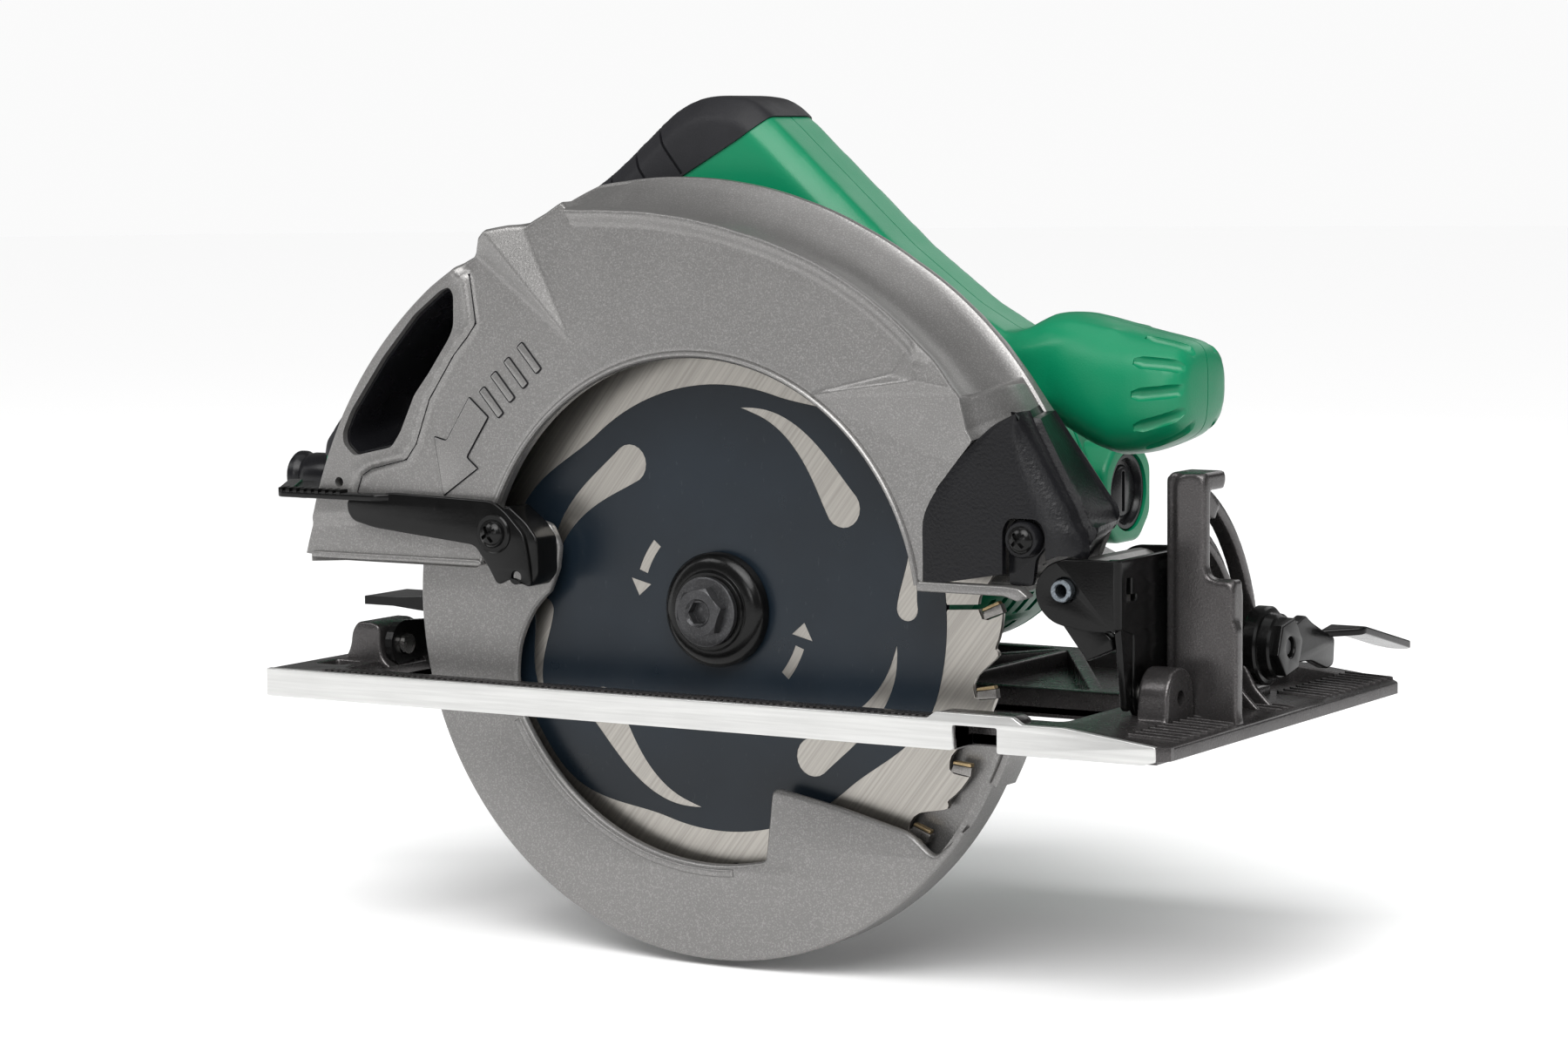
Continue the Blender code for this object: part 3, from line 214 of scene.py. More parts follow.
def make_looks():
    look("guard_paint", (0.190, 0.186, 0.182), 0.35, 0.65, (1500, 0.24), (35, 0.03), 0.03)
    look("base_paint", (0.066, 0.062, 0.062), 0.27, 0.75, (1500, 0.20), (70, 0.10), 0.04, wear=0.05)
    look("black_steel", (0.003, 0.003, 0.003), 0.20, 0.0, (1400, 0.10), (90, 0.20), 0.03, coat=0.05,
         wear=0.04, specular=0.20)
    look("oxide_steel", (0.045, 0.045, 0.047), 0.36, 0.75, (1500, 0.30), (120, 0.20), 0.05, wear=0.20)
    look("tube_steel", (0.16, 0.18, 0.20), 0.26, 0.9, (1500, 0.15), (120, 0.15), 0.05)
    look("black_plastic", (0.005, 0.005, 0.006), 0.33, 0.0, (1100, 0.60), (60, 0.15), 0.05, specular=0.24)
    look("smooth_black", (0.006, 0.006, 0.007), 0.26, 0.0, (1500, 0.10), (60, 0.15), 0.05, specular=0.22)
    look("black_rubber", (0.012, 0.012, 0.014), 0.50, 0.0, (1700, 0.35), (50, 0.15), 0.05, specular=0.24)
    look("green_plastic", (0.0006, 0.170, 0.075), 0.36, 0.0, (1900, 0.22), (25, 0.03), 0.04, specular=0.35)
    look("steel", (0.56, 0.55, 0.53), 0.28, 1.0, (1600, 0.10), (80, 0.06), 0.04,
         streak=(420, (1.0, 6.0, 6.0)), contrast=0.10)
    look("brushed_blade", (0.40, 0.38, 0.35), 0.34, 1.0, (1600, 0.04), (60, 0.03), 0.01,
         streak=(1500, (1.0, 1.0, 0.004)), contrast=0.13, lean=38)
    look("milled_edge", (0.60, 0.60, 0.59), 0.36, 0.85, (1600, 0.10), (40, 0.04), 0.03,
         streak=(700, (0.05, 1.0, 1.6)), contrast=0.06)
    look("aluminium", (0.62, 0.62, 0.62), 0.42, 0.95, (1300, 0.30), (80, 0.06), 0.05)
    look("blade_coating", (0.005, 0.009, 0.014), 0.30, 0.0, (1500, 0.06), (30, 0.15), 0.03, wear=0.08,
         specular=0.35)
    look("carbide", (0.24, 0.23, 0.22), 0.35, 0.9, (1600, 0.15), (200, 0.15))
    look("braze", (0.36, 0.27, 0.15), 0.42, 0.9, (1200, 0.30), (300, 0.2))
    look("copper", (0.60, 0.27, 0.14), 0.35, 1.0, (1300, 0.15), (90, 0.10), 0.05)
    look("lamination", (0.25, 0.25, 0.26), 0.45, 0.9, (1300, 0.2), (90, 0.10), 0.05, streak=(600, (1, 14, 1)))


# ---------------------------------------------------------------- mesh helpers


def linked(name, data):
    """A new object in the scene."""
    thing = bpy.data.objects.new(name, data)
    bpy.context.scene.collection.objects.link(thing)
    return thing


def evaluated(thing):
    """The object's mesh as its modifiers leave it; the object goes."""
    graph = bpy.context.evaluated_depsgraph_get()
    mesh = bpy.data.meshes.new_from_object(thing.evaluated_get(graph))
    bpy.data.objects.remove(thing)
    return mesh


def modified(mesh, *modifiers):
    """The mesh with modifiers applied, each given as its type and its settings."""
    thing = linked("shape", mesh)
    for kind, settings in modifiers:
        modifier = thing.modifiers.new(kind.lower(), kind)
        for name, value in settings.items():
            setattr(modifier, name, value)
    return evaluated(thing)


def edited(mesh, change):
    """The mesh after a change to its BMesh."""
    shape = bmesh.new()
    shape.from_mesh(mesh)
    change(shape)
    shape.to_mesh(mesh)
    shape.free()
    return mesh


def agree(shape):
    """Makes the faces' normals agree with each other."""
    shape.normal_update()
    bmesh.ops.recalc_face_normals(shape, faces=shape.faces)


def face_outward(shape):
    agree(shape)
    if shape.calc_volume(signed=True) < 0:
        bmesh.ops.reverse_faces(shape, faces=shape.faces)


def add_mesh(name, mesh, finish, body, replaces=(), sharp=32):
    """Shades the mesh, gives it its finish's material and makes it a piece that rides on a body."""
    edited(mesh, agree)
    mesh.shade_smooth()
    mesh.set_sharp_from_angle(angle=radians(sharp))
    mesh.materials.clear()
    mesh.materials.append(LOOKS[finish])
    thing = linked(name, mesh)
    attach(thing, body)
    if replaces:
        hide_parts(*replaces)


def mesh_of(points, faces):
    mesh = bpy.data.meshes.new("piece")
    mesh.from_pydata([tuple(place(*p)) for p in points], [], faces)
    return mesh


def cleaned(outline, least=0.04):
    """The outline without points that almost coincide."""
    found = []
    for point in outline:
        if not found or hypot(point[0] - found[-1][0], point[1] - found[-1][1]) > least:
            found.append(tuple(point))
    while hypot(found[0][0] - found[-1][0], found[0][1] - found[-1][1]) <= least:
        found.pop()
    return found


def plate(outlines, start, end, axis="Y", edge=0.4, steps=2):
    """A flat plate with rounded edges, from an outline and its holes, as a mesh."""
    curve = bpy.data.curves.new("outline", "CURVE")
    curve.dimensions = "2D"
    curve.fill_mode = "BOTH"
    curve.extrude = (end - start) / 2 - edge
    curve.bevel_depth = edge
    curve.bevel_resolution = steps
    curve.offset = -edge
    for outline in map(cleaned, outlines):
        line = curve.splines.new("POLY")
        line.points.add(len(outline) - 1)
        for point, (a, b) in zip(line.points, outline):
            point.co = (a, b, 0, 1)
        line.use_cyclic_u = True
    mesh = evaluated(linked("outline", curve))
    bpy.data.curves.remove(curve)

    def settle(shape):
        bmesh.ops.remove_doubles(shape, verts=shape.verts, dist=0.002)
        for vertex in shape.verts:
            a, b, c = vertex.co
            vertex.co = place(*to_space(a, b, (start + end) / 2 + c, axis))
        agree(shape)

    return edited(mesh, settle)


def turned(profile, centre, axis="Y", segments=64, first=0, last=360):
    """A profile of (radius, place along the axis) turned round an axis, as a mesh."""
    whole = last - first >= 360
    turns = segments if whole else segments + 1
    points, rings = [], []
    for radius, along in profile:
        if radius <= 0 and whole:
            rings.append([len(points)])
            points.append(to_space(*centre, along, axis))
            continue
        rings.append(list(range(len(points), len(points) + turns)))
        for i in range(turns):
            points.append(to_space(*polar(centre, radius, first + (last - first) * i / segments), along,
                                   axis))
    closed = all(len(ring) > 1 for ring in rings)
    faces = []
    for i in range(len(rings) if closed else len(rings) - 1):
        a, b = rings[i], rings[(i + 1) % len(rings)]
        for k in range(segments):
            n = (k + 1) % turns
            if len(a) == 1:
                faces.append([a[0], b[k], b[n]])
            elif len(b) == 1:
                faces.append([a[k], b[0], a[n]])
            else:
                faces.append([a[k], b[k], b[n], a[n]])
    if not whole:
        faces.append([ring[0] for ring in rings])
        faces.append([ring[-1] for ring in rings][::-1])
    return mesh_of(points, faces)


def rod(centre, radius, start, end, axis="Y", segments=48):
    """A plain cylinder, mostly used as a cutter."""
    return turned([(0, start), (radius, start), (radius, end), (0, end)], centre, axis, segments)


def merged(*meshes):
    """One mesh made of several; they go."""
    shape = bmesh.new()
    for mesh in meshes:
        shape.from_mesh(mesh)
        bpy.data.meshes.remove(mesh)
    result = bpy.data.meshes.new("piece")
    shape.to_mesh(result)
    shape.free()
    return result


def combined(mesh, other, operation):
    """The Boolean of two closed meshes."""
    edited(mesh, face_outward)
    second = linked("other", edited(other, face_outward))
    result = modified(mesh, ("BOOLEAN", {"operation": operation, "solver": "MANIFOLD", "object": second}))
    bpy.data.objects.remove(second)
    return result


def cut(mesh, *cutters):
    for cutter in cutters:
        mesh = combined(mesh, cutter, "DIFFERENCE")
    return mesh


def melted(mesh, voxel, rounds):
    """The mesh remeshed and smoothed, so that every edge and inner corner becomes a fillet."""
    remesh = {"mode": "VOXEL", "voxel_size": voxel * MM, "use_smooth_shade": True}
    return modified(mesh, ("REMESH", remesh), ("SMOOTH", {"factor": 0.5, "iterations": rounds}))


def grid_faces(rows, columns, wrap=False):
    faces = []
    for i in range(rows - 1):
        for j in range(columns if wrap else columns - 1):
            n = (j + 1) % columns
            faces.append([i * columns + j, i * columns + n, (i + 1) * columns + n, (i + 1) * columns + j])
    return faces


def shell_of(points, faces, thick):
    """A sheet given a thickness, as a closed mesh; a negative thickness grows to its other side."""
    solid = {"thickness": thick * MM, "offset": -1, "use_even_offset": False, "use_rim": True}
    return modified(mesh_of(points, faces), ("SOLIDIFY", solid))


def inset(outline, distance):
    """Each corner moved inwards, for an outline that runs clockwise or anticlockwise."""
    area = sum(a[0] * b[1] - b[0] * a[1] for a, b in zip(outline, outline[1:] + outline[:1]))
    side = 1 if area > 0 else -1
    found = []
    for i, point in enumerate(outline):
        before, after = Vector(outline[i - 1]), Vector(outline[(i + 1) % len(outline)])
        run = (after - before).normalized()
        found.append((point[0] - run.y * distance * side, point[1] + run.x * distance * side))
    return found


# ---------------------------------------------------------------- upper guard

GUARD_NEAR = -16
GUARD_BOTTOM = 40.5
GUARD_THICKNESS = 2.2
WINDOW = 73
# Angles round the arbor: the shell's rear end, where its flat lower edge meets the window, where the rear
# edge's table ends, where the chip cover begins and the shell's front end.
GUARD_START, LOWER_EDGE_END, REAR_END, CHIP_START, GUARD_END = 175.35, 171.2, 110.6, 29.9, 9.3
# Each table gives radii by falling angle.
REAR_EDGE = [(175.35, 137.4), (169.9, 135), (163, 133.6), (156.3, 132.4), (151, 131.2), (146.8, 130.2),
             (140.2, 128.6), (134.4, 127.2), (129.2, 125.4), (126.6, 124.2), (125.4, 125.4), (123.8, 127),
             (122, 127), (119.5, 125), (117, 122.4), (113.6, 122.6), (110.6, 123.6)]
BAND_EDGE = [(110.6, 123.6), (109.9, 121.2), (107.2, 119.3), (101.9, 116.3), (93.6, 112.9), (87, 110.8),
             (81.1, 109.3), (72, 108.2), (60, 107.6), (49.4, 107.4), (36.3, 107.3), (34.4, 105.8),
             (31.8, 104.1), (29.9, 104)]
CHIP_EDGE = [(29.9, 104), (28.6, 97.6), (26.3, 88.6), (21.5, 80.4), (15, 77.4), (9.3, 75.8)]
FAR_EDGE = [(175.2, 132), (169.3, 130), (155.7, 129.4), (145.9, 128), (139, 127.5), (132.9, 127.8),
            (126.4, 128.3), (118.6, 129.3), (111.8, 129.2), (108, 127.3), (97, 123), (90, 120.6),
            (80, 117.6), (70, 115.3), (60, 114), (30.2, 113.9), (28.2, 104), (26, 91),
            (21, 82), (9.3, 76.5)]
# How far each row's points stand out from the window's edge and from the far rim, with their y.
WINDOW_LIP = [(0.3, -11.5), (0, -14.5), (0.1, -16.2), (0.5, -16.7), (1, -16.8), (1.4, -16.5), (1.7, -15.8)]
RIM_LIP = [(0.2, 11.2), (1, 11.7), (1.2, 12.6), (1.2, 13.6), (0.9, 14)]


def read_off(table, angle):
    """The radius at an angle, from a table that runs down in angle."""
    if angle >= table[0][0]:
        return table[0][1]
    for (a, ra), (b, rb) in zip(table, table[1:]):
        if angle >= b:
            return ra + (rb - ra) * (a - angle) / (a - b)
    return table[-1][1]


def near_radius(angle):
    if angle > REAR_END:
        return read_off(REAR_EDGE, angle)
    if angle > CHIP_START:
        return read_off(BAND_EDGE, angle)
    return read_off(CHIP_EDGE, angle)


def facet(point, triangle, heights):
    """The height of a flat triangle over a point, or 0 outside it."""
    (ax, az), (bx, bz), (cx, cz) = triangle
    area = (bx - ax) * (cz - az) - (cx - ax) * (bz - az)
    u = ((point[0] - ax) * (cz - az) - (cx - ax) * (point[1] - az)) / area
    v = ((bx - ax) * (point[1] - az) - (point[0] - ax) * (bz - az)) / area
    if u < 0 or v < 0 or u + v > 1:
        return 0
    return heights[0] * (1 - u - v) + heights[1] * u + heights[2] * v


def path_distance(point, path):
    best = 1e9
    p = Vector(point)
    for a, b in zip(path, path[1:]):
        a, b = Vector(a), Vector(b)
        t = max(0, min(1, (p - a).dot(b - a) / (b - a).length_squared))
        best = min(best, (p - a - (b - a) * t).length)
    return best


def inside(point, outline):
    x, z = point
    found = False
    for (ax, az), (bx, bz) in zip(outline, outline[1:] + outline[:1]):
        if (az > z) != (bz > z) and x < (bx - ax) * (z - az) / (bz - az) + ax:
            found = not found
    return found


def soft_step(value):
    value = max(0, min(1, value))
    return value * value * (3 - 2 * value)


PORT = [(-82.3, 121.4), (-80.8, 119.1), (-80.9, 109.9), (-82.5, 106.4), (-90, 96), (-95.4, 89.4),
        (-100.7, 78.2), (-104, 73.7), (-117.9, 70.7), (-121.7, 74.2), (-121.9, 77.6), (-118.6, 84.2),
        (-106.7, 100.2), (-95, 113), (-85.4, 120.3)]
PORT_BORDER = [(-78.5, 125.7), (-75.7, 125), (-73.7, 110.8), (-76.9, 106.7), (-81.7, 101.5), (-90.7, 88.3),
               (-95.7, 75), (-99.3, 70.3), (-112.1, 67.2), (-115.7, 65), (-117.4, 60.3), (-118.5, 52)]
PORT_PANEL = PORT_BORDER + [(-140, 50), (-140, 90), (-110, 125), (-85, 135)]
RIDGE_TIP = (-40.5, 105.7)
RIDGE_LEFT, RIDGE_TOP, RIDGE_RIGHT = (36.4, 92.5), (64.9, 99.2), (73.8, 97.8)
LIP_END, EDGE_CORNER = (72.2, 108.4), (89.8, 95)
# The ridges' flat facets, each three corners and the heights there.
FACETS = [
    (((-73.4, 130.6), (-69.4, 138.6), RIDGE_TIP), (0, 4.6, 0)),
    (((-69.4, 138.6), (-56.6, 139), RIDGE_TIP), (4.6, 0, 0)),
    (((-69.4, 138.6), (-58, 148), (-56.6, 139)), (4.6, 4.4, 0)),
    ((RIDGE_LEFT, RIDGE_TOP, RIDGE_RIGHT), (0, 0, 2.4)),
    ((RIDGE_TOP, LIP_END, RIDGE_RIGHT), (0, 0, 2.4)),
    ((LIP_END, EDGE_CORNER, RIDGE_RIGHT), (0, 1, 2.4)),
    ((RIDGE_LEFT, RIDGE_RIGHT, EDGE_CORNER), (0, 2.4, 1)),
    ((RIDGE_LEFT, EDGE_CORNER, (99, 70)), (0, 1, 0)),
]


def relief(x, z):
    """How far the guard's near face stands proud at a point."""
    height = sum(facet((x, z), triangle, heights) for triangle, heights in FACETS)
    if z >= 132:
        return height
    reach = path_distance((x, z), PORT_BORDER)
    if not inside((x, z), PORT_PANEL):
        return height + 1.5 * soft_step(0.5 - reach / 1.2)
    return height + (1.5 * soft_step(0.5 + reach / 1.2) + 0.7 * exp(-((reach - 1.3) / 0.7) ** 2))


def eased(values):
    """Each value averaged with its neighbours."""
    last = len(values) - 1
    return [(values[max(k - 1, 0)] + 2 * values[k] + values[min(k + 1, last)]) / 4 for k in range(last + 1)]


def softened(rows):
    """The height rows with their creases eased both ways."""
    columns = zip(*(eased(row) for row in rows))
    return list(zip(*(eased(column) for column in columns)))


def ribbons(path, half):
    """Short straight strips that follow a path, as outlines."""
    found = []
    for a, b in zip(path, path[1:]):
        a, b = Vector(a), Vector(b)
        along = (b - a).normalized() * half * 0.6
        across = Vector((-along.y, along.x)).normalized() * half
        found.append([tuple(a - along - across), tuple(b + along - across), tuple(b + along + across),
                      tuple(a - along + across)])
    return found


def window_radius(angle):
    """The radius of the shell's inner edge: flat along the bottom at the rear, then the round window."""
    return (GUARD_BOTTOM - ARBOR[1]) / sin(radians(angle)) if angle > LOWER_EDGE_END else WINDOW


def outer_radius(angle):
    return max(near_radius(angle), window_radius(angle) + 0.5)


def guard_angles():
    """The rows' angles, closer together where the outline bends."""
    angles, angle = [], GUARD_START
    while angle > GUARD_END:
        angles.append(angle)
        angle -= 0.24 if 108 < angle < 127.5 or 27.5 < angle < 60 else 0.45
    return angles + [GUARD_END]


def face_radii(angle, spans=64):
    """The radii of a row's points over the near face."""
    inner, outer = window_radius(angle), outer_radius(angle)
    start = min(inner + (0.35 if angle > LOWER_EDGE_END else 2.1), outer - 0.35)
    return [start + (outer - start) * k / spans for k in range(spans + 1)]


def near_row(angle, radii, heights):
    """A row's (radius, y) over the window's lip and the near face."""
    inner, outer = window_radius(angle), outer_radius(angle)
    row = []
    for grow, y in WINDOW_LIP:
        radius = inner + grow
        if angle > LOWER_EDGE_END:
            radius, y = inner + (radius - inner) * 0.1, max(y, GUARD_NEAR)
        row.append((radius, y))
    for radius, height in zip(radii, heights):
        y = GUARD_NEAR - height
        if 42 < angle < 110:
            y -= 1.6 * soft_step((radius - outer + 4.4) / 3.6) * soft_step((angle - 43) / 4)
        row.append((radius, y))
    return row


def side_row(angle, start):
    """A row's (radius, y) from the near face's edge over its rounding and the hollow band to the far rim."""
    outer = outer_radius(angle)
    plain = angle < CHIP_START
    turn = 0 if plain else 2.2 - 1.2 * soft_step((112 - angle) / 4)
    far = outer + 0.2 if plain else read_off(FAR_EDGE, angle)
    hollow = 0 if plain else 0.5 + 2.3 * soft_step((109 - angle) / 3) - 6.5 * soft_step((37 - angle) / 1.5)
    row = []
    for k in range(1, 5):
        a = pi / 2 * k / 4
        row.append((outer + turn * 0.55 * sin(a), start + turn * (1 - cos(a))))
    side, side_y = row[-1]
    for k in range(1, 9):
        t = k / 9
        row.append((side + (far - side) * t ** 1.3 - hollow * sin(pi * t), side_y + (11 - side_y) * t))
    return row + [(far if plain else far + grow, y) for grow, y in RIM_LIP]


def make_guard_shell():
    angles = guard_angles()
    radii = [face_radii(angle) for angle in angles]
    heights = softened([[relief(*polar(ARBOR, radius, angle)) for radius in row]
                        for row, angle in zip(radii, angles)])
    points = []
    for angle, row, proud in zip(angles, radii, heights):
        near = near_row(angle, row, proud)
        for radius, y in near + side_row(angle, near[-1][1]):
            x, z = polar(ARBOR, radius, angle)
            points.append((x, y, z))
    faces = grid_faces(len(angles), len(points) // len(angles))
    mesh = shell_of(points, faces, -GUARD_THICKNESS)
    port = plate([rounded(PORT, 1.5, 3)], -30, -6, "Y", 0.05)
    hole = rod((-123.5, 62.7), 1.5, -30, -6, "Y", 24)
    add_mesh("guard_shell", cut(mesh, port, hole), "guard_paint", "head", ["upper_guard"], sharp=28)


def make_port_duct():
    """The dark duct behind the port, narrowing inwards."""
    outline = rounded(PORT, 1.5, 3)
    mx, mz = (sum(point[i] for point in PORT) / len(PORT) for i in (0, 1))
    rings = ((-15.2, 0.998), (-12, 0.97), (-4, 0.90), (6, 0.78), (10, 0.62))
    points = [(mx + (x - mx) * scale, y, mz + (z - mz) * scale) for y, scale in rings for x, z in outline]
    floor = list(range(len(points) - len(outline), len(points)))
    faces = grid_faces(len(rings), len(outline), wrap=True) + [floor]
    add_mesh("port_duct", shell_of(points, faces, 0.8), "smooth_black", "head")


def make_lower_strip():
    """The rolled strip along the lower edge, on both sides of the blade."""
    strip = rounded([(-134.8, 39.8), (-73.5, 39.8), (-72.2, 40.7), (-73.5, 41.6), (-134.4, 41.6)], 0.7)
    rims = merged(plate([strip], -17.2, -12.8, "Y", 0.45), plate([strip], 12.2, 13.8, "Y", 0.45))
    add_mesh("guard_lower_strip", rims, "guard_paint", "head")


def make_direction_arrow():
    """The turning-direction arrow and its bars: raised islands, each ringed by a black plate that paints the
    shade of the groove round it.
    """
    along, across = Vector((0.66, -0.75)) * 5.3, Vector((0.75, 0.66)) * 1.45
    middles = ((-55.1, 101.1), (-59.8, 96.7), (-64.5, 92.5), (-68.6, 87.9))
    shapes = [rounded(bar(Vector(middle), along, across), 0.9, 3) for middle in middles]
    shapes.append(rounded([(-76.5, 89.5), (-69.5, 83.6), (-77.4, 71.6), (-73.4, 68.4), (-86.2, 59.7),
                           (-89.4, 77.5), (-84.9, 76.4)], 0.6, 2))
    # Black plates a little wider than the islands: painted groove shade round each island.
    groove_shades = [plate([shape], -16.25, -15.4, "Y", 0.02, 0) for shape in shapes]
    add_mesh("arrow_groove_shade", merged(*groove_shades), "smooth_black", "head")
    islands = [plate([inset(shape, 0.42)], -16.55, -15.6, "Y", 0.12, 1) for shape in shapes]
    add_mesh("direction_arrow", merged(*islands), "guard_paint", "head")


def make_port_groove_shade():
    # A thin black strip along the port border: painted shade of the groove between the raised border and the
    # guard face.
    groove_shade = [plate([outline], -16.8, -15.5, "Y", 0.02, 0) for outline in ribbons(PORT_BORDER[1:], 0.35)]
    add_mesh("port_groove_shade", merged(*groove_shade), "smooth_black", "head")


def make_upper_guard():
    make_guard_shell()
    make_port_duct()
    make_lower_strip()
    make_direction_arrow()
    make_port_groove_shade()


# ---------------------------------------------------------------- chip cover

# Lines that run up the plastic cover, as (x, z): its flat near side's two edges, the crease that the near
# side rolls over into, and the slanting front's far edge.
COVER_LEFT = [(74.9, 41.6), (74.6, 50), (74.6, 58.8), (76.4, 64), (79.4, 68.6), (84, 74.6), (88.9, 79.6),
              (92.9, 83.2), (97, 86.4), (103.4, 89.6)]
COVER_RIGHT = [(107, 47), (107, 52), (108, 57.4), (107, 62), (105.8, 65.6), (104.4, 71), (103.2, 75.4),
               (102.6, 79.6), (102.4, 84), (103.8, 89.8)]
COVER_CREASE = [(112, 47), (121.5, 50.2), (121.6, 56.4), (119.4, 60.6), (117.6, 64.6), (114.6, 69.8),
                (111.8, 75), (109.2, 79.8), (106.6, 84.6), (104.2, 90)]
COVER_FAR = [(110, 47.6), (112, 50.2), (118, 57), (118.6, 61.4), (115.4, 65.4), (111.4, 70.6), (107.6, 75.6),
             (104, 80.4), (100.4, 85.2), (96.8, 90.2)]
COVER_SCREW = (106, 55.5)


def cover_row(left, right, crease, far):
    """The cover's points across one height."""
    (lx, lz), (rx, rz), (cx, cz), (fx, fz) = left, right, crease, far
    row = [(lx - 0.1, -12, lz), (lx, -15.4, lz), (lx + 0.4, -16.1, lz)]
    for k in range(1, 11):
        t = k / 10
        row.append((lx + 0.4 + (rx - lx - 0.4) * t, -16.4, lz + (rz - lz) * t))
    for k in range(1, 9):
        a = pi / 2 * k / 8
        row.append((rx + (cx - rx) * sin(a), -16.4 + 7 * (1 - cos(a)), rz + (cz - rz) * sin(a)))
    row += [(cx + 0.25, -8.8, cz), (cx - 0.2, -8, cz - 0.1)]
    for k in range(1, 11):
        t = k / 10
        dip = 0 if k > 9 else -0.7
        row.append((cx + (fx - cx) * t + dip, -8 + 20 * t, cz + (fz - cz) * t + dip * 0.4))
    return row + [(fx + 0.3, 12.8, fz + 0.2), (fx + 0.3, 14, fz + 0.2)]


def make_cover_panel(crease, far, columns=26):
    """The raised panel with ridged borders on the slanting front."""
    first, last = 8, len(crease) - 3
    points = []
    for i in range(first, last + 1):
        (cx, cz), (fx, fz) = crease[i], far[i]
        up = (i - first) / (last - first)
        for k in range(columns + 1):
            t = k / columns
            rim = min(soft_step((1 - t) / 0.04), soft_step(up / 0.03), soft_step((1 - up) / 0.03))
            ridge = max(exp(-((t - 0.93) / 0.05) ** 2), exp(-((up - 0.07) / 0.04) ** 2))
            lift = soft_step(t / 0.045) * rim * (2.3 + 1.1 * ridge) - 0.6
            points.append((cx + (fx - cx) * t + lift * 0.86, -7.7 + 20.6 * t,
                           cz + (fz - cz) * t + lift * 0.5))
    panel = shell_of(points, grid_faces(last - first + 1, columns + 1), 1.2)
    add_mesh("cover_panel", panel, "black_plastic", "head", sharp=40)


def make_chip_cover():
    """The plastic cover at the guard's front, with its screw seat and the strip under it."""
    edges = [smooth_path(path, 5) for path in (COVER_LEFT, COVER_RIGHT, COVER_CREASE, COVER_FAR)]
    rows = [cover_row(*corners) for corners in zip(*edges)]
    mesh = shell_of(sum(rows, []), grid_faces(len(rows), len(rows[0])), 2)
    make_cover_panel(edges[2], edges[3])
    pin_room = rod(DEPTH_PIN, 9.3, -40, 40)
    recess = rounded([(99.8, 38), (99.8, 58), (101.6, 61.2), (110.4, 61.2), (112.6, 58), (112.6, 38)], 2)
    mesh = cut(mesh, pin_room, plate([recess], -30, -13, "Y", 0.05))
    add_mesh("front_cover", mesh, "black_plastic", "head", ["chip_cover"], sharp=30)
    seat = [(100.2, 42.6), (100.2, 57.8), (102, 60.8), (110, 60.8), (112, 57.8), (112, 54), (108.4, 50),
            (107.6, 42.6)]
    floor = plate([rounded(seat, 1.6)], -13.4, -11.4, "Y", 0.3)
    boss = turned([(2.6, -17.6), (4.6, -17.6), (5, -17), (5.2, -12), (2.6, -12)], COVER_SCREW, "Y", 40)
    add_mesh("cover_screw_seat", merged(floor, boss), "smooth_black", "head")
    edge = rounded([(73.2, 39.9), (100.5, 39.9), (104.5, 38.6), (108, 40), (105, 42.2), (100.5, 42.6),
                    (73.4, 42.6)], 0.8)
    lip = merged(plate([edge], -17, -12.8, "Y", 0.5), plate([edge], 10.4, 12, "Y", 0.5))
    add_mesh("guard_front_strip", lip, "guard_paint", "head")


# ---------------------------------------------------------------- lower guard

LOWER_RADIUS = 100.9
LOWER_REAR, LOWER_FRONT = -200, -17
LEVER_SCREW = (-65.7, 50)


def lower_near_outline():
    """The crescent's near side: its round outside, the notched front end, the window and the rear arm."""
    front = rounded([(84, -26.3), (73.4, -35.5), (65.7, -29.3), (42.9, -23.8), (20.9, -19.8), (18.9, -38),
                     (18, -43.8)], 2.6, 5)[6:-6]
    rear = smooth_path([(-65.4, -2.6), (-66.6, 4), (-66.5, 11), (-65, 18), (-60.6, 26.4), (-54.8, 32.4)], 6)
    top = rounded([(-52, 38), (-50.9, 46), (-54, 52.2), (-94, 62.8)], 1.2, 2)[2:-2]
    return (arc(ARBOR, LOWER_RADIUS, LOWER_REAR, -33.6, 150) + front + arc(ARBOR, WINDOW, -76, -153, 60)
            + rear[1:] + top)


def make_lower_guard():
    near = plate([lower_near_outline()], -8, -5, "Y", 1.15, 4)
    lip = arc(ARBOR, WINDOW + 3.6, -152, -84, 60) + arc(ARBOR, WINDOW + 1.2, -84, -152, 60)
    bead = plate([lip], -8.5, -6, "Y", 0.7, 3)
    profile = [(98.4, -6.8), (99.9, -6.8), (LOWER_RADIUS - 0.02, -5.6), (LOWER_RADIUS, 3.4),
               (LOWER_RADIUS - 0.5, 4.9), (99, 5.5), (97.4, 5.5), (97.4, 3.9), (98.9, 3.7), (99.2, 2.4),
               (99.2, -5)]
    rim = turned(profile, ARBOR, "Y", 176, LOWER_REAR, LOWER_FRONT)
    sector = [polar(ARBOR, 24, 160)] + arc(ARBOR, LOWER_RADIUS - 0.8, LOWER_REAR, LOWER_FRONT, 150)
    sector.append(polar(ARBOR, 24, LOWER_FRONT))
    far = plate([sector, circle(ARBOR, 20, 64)], 3.9, 5.5, "Y", 0.35)
    hub = turned([(18.4, 4.2), (22.4, 4.2), (23, 5), (23, 10.8), (22.4, 11.5), (18.4, 11.5)], ARBOR)
    fold = smooth_path([(92.6, -14.6), (96.2, -7), (97.2, -2), (95.8, 0.2)], 5)
    fold += [(x - 1.8, z + 1) for x, z in reversed(fold)]
    shell = merged(near, bead, rim, far, hub, plate([fold], -7, 5, "Y", 0.5))
    add_mesh("lower_guard_shell", shell, "guard_paint", "lower_guard", ["lower_guard"], sharp=30)


